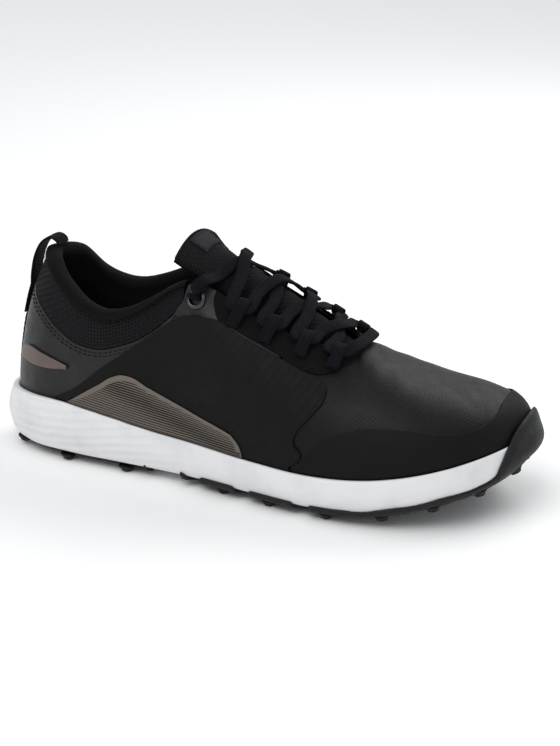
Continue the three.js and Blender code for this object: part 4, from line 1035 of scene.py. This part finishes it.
# %% [markdown]
# ## Sole
# The midsole is one closed form: a rounded side, a cup wall behind it and the floor the foot rests on. The
# outsole plates follow its underside with a small gap. The front plate's edge is cut into pods, and at the
# toe it climbs into a bumper. The studs are copies on a list of places.

# %% Midsole
SOLE_STEPS, UNDER_INSET, CUP_GAP = 360, 18.0, 0.35
rim_inset = ramp([[0, 3.3], [0.12, 2.2], [0.3, 1.5], [0.9, 1.5], [1, 1.8]])


def spine(u):
    s = side_of(u)[1]
    x = np.clip((halves[0](s)[..., 0] + halves[1](s)[..., 0]) / 2, 34, 270)
    return x, mix(0, 10, smooth(0.5, 1, s))


def from_outline(u, inset, z):
    xy = outline(u) - outward_of(u) * np.asarray(inset)[..., None]
    return upright(xy, z(xy[..., 0]) if callable(z) else z)


def sole_side(u):
    s = side_of(u)[1]
    x = outline(u)[..., 0]
    bottom, rim, inset = sole_bottom(x), rim_height(x), rim_inset(s)
    whole = np.ones(u.shape)
    return [
        from_outline(u, 7 * whole, sole_bottom),
        from_outline(u, 2.6 * whole, bottom + 1.6),
        from_outline(u, 0.8 * whole, mix(bottom, rim, 0.26)),
        from_outline(u, 0 * whole, mix(bottom, rim, 0.5)),
        from_outline(u, inset * 0.35, mix(bottom, rim, 0.75)),
        from_outline(u, inset, rim),
    ]


def soft_profile(rows, count):
    return np.stack([by_length(row)(np.linspace(0, 1, count)) for row in rows])


u = np.linspace(0, 2, SOLE_STEPS, endpoint=False)
x, y = spine(u)
low = np.stack([x, y, sole_bottom(x)], -1)
inner = from_outline(u, np.full(u.shape, UNDER_INSET), sole_bottom)
side_rows = soft_profile(np.stack(sole_side(u), 1), 26)
share = rim_share(u, 0.0)
wall = [skin_at(u, share * k, np.full(u.shape, CUP_GAP)) for k in (1, 0.66, 0.33)]
floor = skin_at(u, 0 * u, np.full(u.shape, CUP_GAP)) - np.array([0, 0, 0.3])
rim_top = side_rows[:, -1]
lip = mix(rim_top, wall[0], 0.5) + np.array([0, 0, 0.25])
high = np.stack([x, y, footbed(x) - 0.3], -1)
middle = mix(floor, high, 0.5)
middle[:, 2] = footbed(middle[:, 0]) - 0.3
points = np.concatenate([
    low[:, None], mix(low, inner, 0.5)[:, None], inner[:, None], side_rows, lip[:, None],
    np.stack([*wall, floor], 1), middle[:, None], high[:, None],
], 1)
columns = points.shape[1]
across = lengths(points, 1)
round_way = lengths(side_rows[:, -1:, :], 0)
uv = np.stack([np.broadcast_to(round_way, across.shape), across], -1).reshape(-1, 2)
faces = grid_faces(SOLE_STEPS, columns, wrap=True)
midsole = build("midsole_body", points.reshape(-1, 3), faces, eva, uv, weld=WELD)
keep(midsole, "shoe", "midsole_foam", "midsole")
print("midsole faces:", len(midsole.data.polygons))

# %% Outsole plates
PLATE, SOLE_GAP, REAR_EDGE, HEEL_EDGE = 2.1, 0.4, 118, 100
BUMPER_FROM, BUMPER_OUT = 0.88, 2.3
bumper_top = ramp([[BUMPER_FROM, 0.2], [0.935, 0.3], [0.97, 0.36], [1, 0.385]])
PODS = [[97, 127], [129, 157], [159, 192], [194, 400]]


def cut_height(x):
    wavy = sole_bottom(x) + 3.1 + 0.5 * np.sin((x - 206) * 0.24)
    toe = ramp([[287, 24], [289, 31], [291, 40], [294, 47], [299, 49.5], [310, 50]])(x)
    return np.where(x < 206, 200.0, mix(wavy, toe, smooth(284, 288, x)))


def wrap_end(u):
    s = side_of(u)[1]
    x = outline(u)[..., 0]
    pods = sum(smooth(a, a + 5, x) * smooth(b, b - 5, x) for a, b in PODS)
    return mix(pods * 1.5, 5, smooth(0.68, 0.75, s))


def sole_plate(name, u, x_from, x_to, node_name):
    x, y = spine(u)
    s = side_of(u)[1]
    start = np.stack([x, y, sole_bottom(x)], -1)
    inner = from_outline(u, np.full(u.shape, UNDER_INSET), sole_bottom)
    side = np.stack(sole_side(u), 1)
    wall_low = rim_share(u, 2)
    wall_high = np.maximum(bumper_top(s), wall_low + 0.01)
    wall = [skin_at(u, mix(wall_low, wall_high, k), np.full(u.shape, BUMPER_OUT)) for k in (0, 0.5, 1)]
    fine = np.linspace(0, 1, 240)
    kept = np.concatenate([np.linspace(0, 0.6, 10)[:-1], np.linspace(0.6, 1, 22)])
    rows = []
    for i in range(len(u)):
        end = float(wrap_end(u[i]))
        if s[i] < BUMPER_FROM:
            cut = side[i, : int(end) + 1].tolist()
            if end > int(end):
                cut.append(mix(side[i, int(end)], side[i, min(int(end) + 1, 5)], end - int(end)).tolist())
            control = np.array([start[i], inner[i], *cut])
        else:
            control = np.array([start[i], inner[i], *side[i], *[w[i] for w in wall]])
        path = by_length(control)(fine)
        over = np.nonzero(path[:, 2] > cut_height(path[:, 0]))[0]
        path = path[: max(over[0], 8)] if len(over) else path
        path[:, 0] = np.clip(path[:, 0], x_from, x_to)
        rows.append(by_length(path)(kept))
    points = np.stack(rows)
    normals = unit(np.cross(np.gradient(points, axis=0), np.gradient(points, axis=1)))
    flat = smooth(0, 12, lengths(points, 1))[..., None]
    normals = unit(mix(np.broadcast_to([0, 0, -1.0], normals.shape), normals, flat))
    from_end = lengths(points, 1)[:, -1:] - lengths(points, 1)
    high = SOLE_GAP + PLATE * mix(0.65, 1.0, smooth(0, 6, from_end))
    piece = sheet(name, points, normals, SOLE_GAP, high, rubber, soft=0.6, open_low=True, weld=WELD)
    keep(piece, "shoe", "outsole_rubber", node_name)


stud_profile = [
    (0, 0), (4.3, -0.8), (4.2, 0), (3.5, 0.5), (3.1, 1.4),
    (2.7, 2.3), (2.4, 2.6), (1.7, 2.6), (1.4, 2.2), (0, 2.2),
]
STUD = turned_item("stud_item", stud_profile, 20)
STUD_INSET, STUD_SIZE = 7.5, (1, 1, 0.87)


def studs(name, places, node_name):
    places = np.array(places, float)
    x = places[:, 0]
    base = upright(places, sole_bottom(x) - SOLE_GAP - PLATE)
    slope = (sole_bottom(x + 1) - sole_bottom(x - 1)) / 2
    down = np.stack([slope, 0 * x, -1 + 0 * x], -1)
    along = np.stack([1 + 0 * x, 0 * x, slope], -1)
    piece = copies(name, base, along, down, STUD_SIZE, rubber, 0.0, STUD)
    keep(piece, "shoe", "outsole_rubber", node_name)


def edge_places(shares):
    u = np.array([v for s in shares for v in (s, 2 - s)])
    return from_outline(u, np.full(u.shape, STUD_INSET), 0 * u)[:, :2].tolist()


def share_at(x):
    s = np.linspace(0.1, 0.7, 601)
    return float(np.interp(x, spine(s)[0], s))


front_s, heel_s = share_at(REAR_EDGE), share_at(HEEL_EDGE)
PAST_TOE, PAST_HEEL = 400, -10
round_toe = np.linspace(front_s, 2 - front_s, 561)
sole_plate("outsole_front_plate", round_toe, REAR_EDGE, PAST_TOE, "outsole_forefoot")
sole_plate("outsole_heel_plate", np.linspace(-heel_s, heel_s, 241), PAST_HEEL, HEEL_EDGE, "outsole_heel")
front_places = edge_places([0.455, 0.536, 0.633, 0.721, 0.8, 0.88, 0.965]) + [
    [140, -12], [140, 12], [168, -20], [168, 20], [196, -22], [196, 26], [224, -20], [224, 30],
    [154, 0], [182, 2], [210, 4], [238, 6], [262, 12],
]
heel_places = edge_places([0.07, 0.182, 0.287]) + [
    [26, 0], [44, -12], [44, 12], [62, 0], [80, -12], [80, 12],
]
studs("outsole_front_studs", front_places, "outsole_forefoot")
studs("outsole_heel_studs", heel_places, "outsole_heel")
print("outsole done")

# %% [markdown]
# ## Insole board and sockliner
# The board closes the upper from below and the soft sockliner lies on it, loose, so it can be lifted out.

# %% Board and sockliner
BOARD, SOCK = 1.4, 4.0


def inner_floor(name, inset, height, low, high, rise, look, soft):
    s = mix(0.012, 0.988, (1 - np.cos(np.linspace(0, np.pi, 140))) / 2)
    lateral = skin_at(s, 0 * s, np.full(s.shape, -inset))
    medial = skin_at(2 - s, 0 * s, np.full(s.shape, -inset))
    k = graded(30, 60, 2.0)[None, :, None]
    points = mix(lateral[:, None], medial[:, None], k)
    cup = (2 * np.abs(k[..., 0] - 0.5)) ** 6 * rise
    points[..., 2] = footbed(points[..., 0]) + height + cup
    normals = unit(np.cross(np.gradient(points, axis=0), np.gradient(points, axis=1)))
    normals = normals * np.sign(normals[..., 2:])
    return sheet(name, points, normals, low, np.full(points.shape[:2], high), look, soft)


board = inner_floor("insole_board_piece", 4.6, BOARD / 2, -BOARD / 2, BOARD / 2, 0, board_cloth, 0.3)
keep(board, "shoe", "board", "strobel_board")
sock = inner_floor("sockliner_pad", 8, BOARD + 0.3 + SOCK / 2, -SOCK / 2, SOCK / 2, 1.5, sock_cloth, 1.2)
keep(sock, "sockliner", "sockliner", "sockliner")
print("insole done")

# %% [markdown]
# ## Tongue
# The tongue is a curved strip from its root under the vamp to its flared top. Its outer cloth, its padding
# and its lining are three pieces, and a bound edge runs round the cloth. Each row of `TONGUE` is a place
# along it, then its height, its half width and how far its sides drop.

# %% Tongue
TONGUE = np.array([
    [222, 66, 14, 5], [207, 73.8, 17, 8.5], [196, 81.5, 19, 13], [185, 89, 20, 16],
    [170, 98.5, 21, 18.5], [155, 106.5, 20.5, 17], [141, 113.5, 19.5, 13], [130, 119.5, 20.3, 10.5],
    [120, 125.5, 24, 9.6], [114, 129, 26.5, 7.8],
], float)
tongue_steps = np.concatenate([[0], np.cumsum(np.hypot(*np.diff(TONGUE[:, :2], axis=0).T))])
tongue_line = ramp(np.column_stack([tongue_steps / tongue_steps[-1], TONGUE]))


def tongue_at(k, w, h=0.0):
    k, w, h = np.broadcast_arrays(np.asarray(k, float), np.asarray(w, float), np.asarray(h, float))
    row = tongue_line(k)
    x, z, width, drop = row[..., 0], row[..., 1], row[..., 2], row[..., 3]
    a, b = tongue_line(k - 0.01), tongue_line(k + 0.01)
    run = unit(np.stack([b[..., 0] - a[..., 0], 0 * k, b[..., 1] - a[..., 1]], -1))
    up = np.stack([run[..., 2], 0 * k, -run[..., 0]], -1)
    bend = np.arctan2(2 * drop * w, width)
    normal = up * np.cos(bend)[..., None]
    normal[..., 1] += np.sin(bend)
    return np.stack([x, w * width, z - drop * w * w], -1) + normal * h[..., None], normal


def tongue_piece(name, k0, k1, half, low, high, look, soft, count=(150, 60)):
    along, over = mix(k0, k1, graded(count[0], 120, soft)), half * (1 - 2 * graded(count[1], 45, soft))
    k, w = np.meshgrid(along, over, indexing="ij")
    points, normals = tongue_at(k, w)
    low = low(k, w) if callable(low) else low
    high = high(k, w) if callable(high) else np.full(k.shape, float(high))
    return sheet(name, points, normals, low, high, look, soft)


PAD_SHARE = 0.94


def foam_depth(k, w):
    return -1.9 - 3.4 * np.sin(np.pi * np.clip((w + 1) / 2, 0.02, 0.98)) * smooth(0, 0.3, k)


def puffed(k, w):
    here = smooth(0.5, 0.58, k) * smooth(0.88, 0.82, k) * smooth(0.95, 0.7, np.abs(w))
    return 0.25 * (1 - w**4) + 0.21 * np.abs(np.sin(np.pi * (k - 0.55) / 0.065)) * here


def behind_foam(gap):
    return lambda k, w: foam_depth(k, w * PAD_SHARE) - gap


tongue_skin = tongue_piece("tongue_cloth_shell", 0, 1, 1, -1.0, puffed, tongue_cloth, 0.5)
keep(tongue_skin, "tongue", "tongue_skin", "tongue_skin")
tongue_pad = tongue_piece("tongue_pad", 0.04, 0.975, PAD_SHARE, foam_depth, -1.3, foam, 0.3, (60, 24))
keep(tongue_pad, "tongue", "foam", "tongue_foam")
tongue_back = tongue_piece(
    "tongue_back_cloth", 0, 1, 1, behind_foam(1.2), behind_foam(0.5), lining_cloth, 0.2, (80, 40),
)
keep(tongue_back, "tongue", "lining", "tongue_lining")
label = tongue_piece("tongue_blank_label", 0.9, 0.985, 0.42, 0.35, 1.05, label_cloth, 0.3, (20, 24))
keep(label, "tongue", "label", "tongue_label")


def over_top(k_low, k_top, half, count, across):
    rise = np.linspace(k_low, k_top, count)
    k = np.concatenate([rise, np.full(across, k_top), rise[::-1]])
    w = np.concatenate([np.full(count, -half), np.linspace(-half, half, across), np.full(count, half)])
    return k, w


k, w = over_top(0.66, 0.995, 0.955, 90, 62)
edge_points, edge_normals = tongue_at(k, w, -0.9)
fresh = np.concatenate([np.arange(90), np.arange(91, 151), np.arange(152, 242)])
smoothed = by_length(edge_points[fresh])(np.linspace(0, 1, 240))
binding = tube("tongue_binding", smoothed, edge_normals[fresh], 2.0, 3.0, webbing, 12)
keep(binding, "tongue", "webbing")
seam("tongue_edge_seam", *tongue_at(*over_top(0.4, 0.965, 0.9, 60, 50), 0.3), body="tongue")
w, k = np.linspace(-0.38, 0.38, 24), np.linspace(0.908, 0.977, 14)
label_w = np.concatenate([w, np.full(14, w[-1]), w[::-1], np.full(14, w[0])])
label_k = np.concatenate([np.full(24, k[0]), k, np.full(24, k[-1]), k[::-1]])
seam("tongue_label_seam", *tongue_at(label_k, label_w, 1.05), body="tongue")
print("tongue done")

# %% [markdown]
# ## Lace, loops and rings
# Each loop stands on a place of the skin with its own frame: outward, up the side, and forward. The flat
# lace runs from the medial ring through the loops, across the front, and back to the lateral ring. Its ends
# are tucked behind the rings.

# %% Lace
LACE_RADIUS, EYE_HEIGHT, EYE_RISE, EYE_HALF = 1.4, 4.6, 0.5, 4.2
LACE_WIDE, LACE_THICK, OVER_TONGUE = 6.4, 2.0, LACE_RADIUS + 1.0
LOOP_PLACES = [[0.514, 0.975], [0.558, 0.975], [0.6, 0.965], [0.64, 0.885]]
RING_PLACE = [0.443, 0.905]


class Spot:
    def __init__(self, s, t, medial):
        u = 2 - s if medial else s
        self.place = skin(u, t)
        self.out = skin_normal(u, t)
        rise = unit(skin(u, t) - skin(u, t - 0.03))
        self.rise = unit(rise - self.out * np.dot(rise, self.out))
        self.forward = unit(np.cross(self.rise, self.out)) * (-1 if medial else 1)

    def at(self, h, r, f):
        return self.place + self.out * h + self.rise * r + self.forward * f


loops = {side: [Spot(s, t, medial) for s, t in LOOP_PLACES] for side, medial in SIDES}
rings = {side: Spot(*RING_PLACE, medial) for side, medial in SIDES}


def tongue_share(x):
    k = np.linspace(0, 1, 400)
    return float(np.interp(-x, -tongue_line(k)[:, 0], k))


def crossing(start, end, lifted):
    a, b = start.at(EYE_HEIGHT, EYE_RISE, 0), end.at(EYE_HEIGHT, EYE_RISE, 0)
    found = []
    for share in (0.27, 0.5, 0.73):
        x, y = mix(a[0], b[0], share), mix(a[1], b[1], share)
        k = tongue_share(x)
        lift = (2 * LACE_RADIUS + 0.2) * (1 if share == 0.5 else 0.25) if lifted else 0
        point, normal = tongue_at(k, y / tongue_line(k)[2], OVER_TONGUE + lift)
        found.append([point, normal])
    found[0][0][2] = max(found[0][0][2], mix(a[2], found[1][0][2], 0.54))
    found[2][0][2] = max(found[2][0][2], mix(b[2], found[1][0][2], 0.54))
    return found


def eye_pass(spot, towards):
    forward = (-EYE_HALF, 0, EYE_HALF)
    return [[spot.at(EYE_HEIGHT, EYE_RISE - abs(k) * 0.12, k * towards), spot.out] for k in forward]


def ring_pass(side, medial):
    spot = rings[side]
    u = 2 - RING_PLACE[0] if medial else RING_PLACE[0]
    inside = [[skin_at(u, RING_PLACE[1] - drop, -9.0), spot.out] for drop in (0.06, 0.12, 0.18, 0.24)]
    return [
        [spot.at(5, 9.5, 5), spot.out], [spot.at(6.4, 5.8, 2), spot.out], [spot.at(4.6, 1.2, 0), spot.rise],
        [spot.at(-5, 0, 0), -spot.rise], *inside,
    ]


L, M = loops["lateral"], loops["medial"]
path = ring_pass("medial", True)[::-1]
for start, end in ((rings["medial"], L[0]), (L[0], M[1]), (M[1], L[2]), (L[2], M[3])):
    path += crossing(start, end, True) + eye_pass(end, 1)
path += [[spot.at(EYE_HEIGHT + 0.5, 6, 10), spot.out] for spot in (M[3], L[3])]
for start, end in ((L[3], M[2]), (M[2], L[1]), (L[1], M[0]), (M[0], rings["lateral"])):
    path += eye_pass(start, -1) + crossing(start, end, False)
path += ring_pass("lateral", False)
both = np.array([np.concatenate([point, normal]) for point, normal in path])
steps = np.sqrt(np.linalg.norm(np.diff(both[:, :3], axis=0), axis=1))
knots = np.concatenate([[0], np.cumsum(steps)])
lace_curve = ramp(np.column_stack([knots, both]))
fine = lace_curve(np.linspace(0, knots[-1], 4000))
length = np.concatenate([[0], np.cumsum(np.linalg.norm(np.diff(fine[:, :3], axis=0), axis=1))])
samples = np.stack([np.interp(np.linspace(0, length[-1], 1100), length, fine[:, k]) for k in range(6)], -1)
lace = tube("lace_band", samples[:, :3], unit(samples[:, 3:]), LACE_WIDE, LACE_THICK, lace_cloth, 16, 0.62)
keep(lace, "shoe", "lace", "lace")
print("lace length on the shoe, mm:", round(float(length[-1])))
for side, end, near in (("medial", 0, 6), ("lateral", -1, -7)):
    tip = samples[end, :3]
    away = unit(tip - samples[near, :3])
    line = tip + away * np.linspace(-0.5, 12, 12)[:, None]
    outward = np.tile(samples[end, 3:], (12, 1))
    piece = tube("lace_tip_" + side, line, outward, 3.3, 3.0, aglet_look, 16, 1.0)
    keep(piece, "shoe", "aglet", "aglet_" + side)

# %% Loops and rings
LOOP_WIDTH, BAND, LEAN, LOOP_FOOT = 6.4, 0.8, 0.22, -10.5
EYE_OUT, EYE_UP = 2.1, 4.3
ring_profile = np.array([
    [3.0, -2.1], [3.7, -2.1], [3.7, 0.3], [5.0, 0.3], [5.5, 0.6], [5.4, 1.2],
    [4.8, 1.8], [4.0, 2.1], [3.4, 1.9], [3.0, 1.3], [3.0, -2.1],
])
for side, medial in SIDES:
    for i, spot in enumerate(loops[side]):
        path = [[1.8, LOOP_FOOT], [1.9, -5]]
        for k in range(13):
            turn = -math.pi / 2 + k / 12 * math.pi
            path.append([EYE_HEIGHT + EYE_OUT * math.sin(turn), EYE_RISE + EYE_UP * math.cos(turn)])
        path += [[4.9, -5.5], [2.9, LOOP_FOOT]]
        centre = np.array([spot.at(h, r, (r + 4) * LEAN) for h, r in path])
        centre = by_length(centre)(np.linspace(0, 1, 70))
        tangent = unit(np.gradient(centre, axis=0))
        normals = np.cross(np.tile(spot.forward, (70, 1)), tangent)
        piece = tube(f"loop_band_{side}_{i + 1}", centre, normals, LOOP_WIDTH, BAND, webbing, 16, 0.45)
        keep(piece, "shoe", "webbing", f"lace_loop_{side}_{i + 1}")
        row = np.linspace(-2.3, 2.3, 12)
        stitched = np.array([spot.at(3.75, -9.2, f - 1.2) for f in row])
        seam(f"loop_seam_{side}_{i + 1}", stitched, np.tile(spot.out, (12, 1)))
    spot = rings[side]
    turn = np.linspace(0, 2 * np.pi, 48, endpoint=False)
    fine = np.linspace(0, 10, 41)
    profile = np.stack([np.interp(fine, range(11), ring_profile[:, k]) for k in (0, 1)], -1)
    ring_points = np.array([
        [spot.at(h, r * math.cos(a), r * math.sin(a)) for r, h in profile] for a in turn
    ])
    faces = grid_faces(48, 41, wrap=True)
    piece = build("eyelet_ring_piece_" + side, ring_points.reshape(-1, 3), faces, ring_metal, weld=WELD / 2)
    keep(piece, "shoe", "eyelet_metal", "eyelet_ring_" + side)
print("lacing done")

# %% Heel tape and pull loop
TAPE_WIDE, TAPE_THICK = 12, 1.5


def tape(name, points, body, node_name, count=60):
    line = by_length([[x, 0, z] for x, z in points], 0.5)(np.linspace(0, 1, count))
    tangent = unit(np.gradient(line, axis=0))
    normals = np.cross(tangent, np.tile([0, 1.0, 0], (count, 1)))
    piece = tube(name, line, normals, TAPE_WIDE, TAPE_THICK, webbing, 20, 0.4)
    keep(piece, body, "webbing", node_name)


heel_back = [skin_at(0.0, t, 1.3)[[0, 2]] for t in (STRIP_TOP, 0.6, 0.67, 0.72)]
tape_end = heel_back[-1]
tape("heel_tape_band", heel_back, "shoe", "heel_tape")
pull_loop = [
    [tape_end[0] + 0.15, tape_end[1] + 0.45], [18, 98], [20.6, 108.5],
    [25, 115.8], [30.3, 118.6], [34, 117], [34.9, 114.6],
]
tape("pull_loop_band", pull_loop, "pull_loop", "pull_loop", 90)
for row, t in enumerate((0.585, 0.66)):
    y = np.linspace(-4.8, 4.8, 16)
    line = np.stack([skin_at(0.0, t, 2.15) + np.array([0, v, 0]) for v in y])
    seam(f"heel_tape_seam_{row}", line, np.tile([-1.0, 0, 0.1], (16, 1)))
print("heel done")

# %% [markdown]
# ## Picture
# A pale floor, a broad soft sun, two panels and a bright sky light the shoe evenly. The camera stands to
# the front of the lateral side, a little above it, with a long lens.

# %% Stage, light and camera
FLOOR_HALF, FLOOR_TOP, SKY = 14, -0.0002, 0.62
floor_look = Look("studio_floor", "#fbfbfa", 0.9)
floor_look.tint("#fdfdfc", floor_look.noise(400)).rough(0.85, 0.95, floor_look.noise(300))
floor = bpy.data.meshes.new("floor")
corners = [(x * FLOOR_HALF, y * FLOOR_HALF, FLOOR_TOP) for x, y in ((-1, -1), (1, -1), (1, 1), (-1, 1))]
floor.from_pydata(corners, [], [(0, 1, 2, 3)])
floor.materials.append(floor_look.material)
floor = bpy.data.objects.new("floor", floor)
bpy.context.scene.collection.objects.link(floor)

world = bpy.data.worlds.new("studio")
bpy.context.scene.world = world
world.use_nodes = True
world.node_tree.nodes["Background"].inputs["Color"].default_value = (0.95, 0.97, 1.0, 1)
world.node_tree.nodes["Background"].inputs["Strength"].default_value = SKY


def lamp(name, kind, energy, position, target=(0, 0, 0.05), **settings):
    data = bpy.data.lights.new(name, kind)
    data.energy = energy
    for key, value in settings.items():
        setattr(data, key, value)
    obj = bpy.data.objects.new(name, data)
    obj.location = position
    obj.rotation_euler = (Vector(target) - Vector(position)).to_track_quat("-Z", "Y").to_euler()
    bpy.context.scene.collection.objects.link(obj)
    return obj


sun = lamp("soft_sun", "SUN", 0.7, (-0.6, -1.2, 2.2), angle=math.radians(50))
key = lamp("key_panel", "AREA", 2.6, (-0.1, -0.75, 0.85), shape="RECTANGLE", size=0.9, size_y=0.35)
back = lamp("back_panel", "AREA", 5, (0.35, 0.75, 0.8), shape="RECTANGLE", size=0.9, size_y=0.5)

AZIMUTH, ELEVATION, DISTANCE = math.radians(21.5), math.radians(19.4), 975
target = np.array([162, 0, 56.0])
level = math.cos(ELEVATION)
sight = np.array([math.sin(AZIMUTH) * level, -math.cos(AZIMUTH) * level, math.sin(ELEVATION)])
right = unit(np.cross([0, 0, 1.0], sight))
upward = np.cross(sight, right)
turn = np.stack([place(v) - place(np.zeros(3)) for v in (right, upward, sight)], 1) * 1000
pose = np.eye(4)
pose[:3, :3] = turn
pose[:3, 3] = place(target + sight * DISTANCE)
camera = bpy.data.cameras.new("camera")
camera.lens = 88.5
camera.sensor_fit = "VERTICAL"
camera.sensor_height = 36
camera.clip_end = 60
camera = bpy.data.objects.new("camera", camera)
camera.matrix_world = Matrix(pose.tolist())
bpy.context.scene.collection.objects.link(camera)
bpy.context.scene.camera = camera
bpy.context.scene.view_settings.view_transform = "Standard"
print("camera at", [round(v, 3) for v in camera.matrix_world.translation])
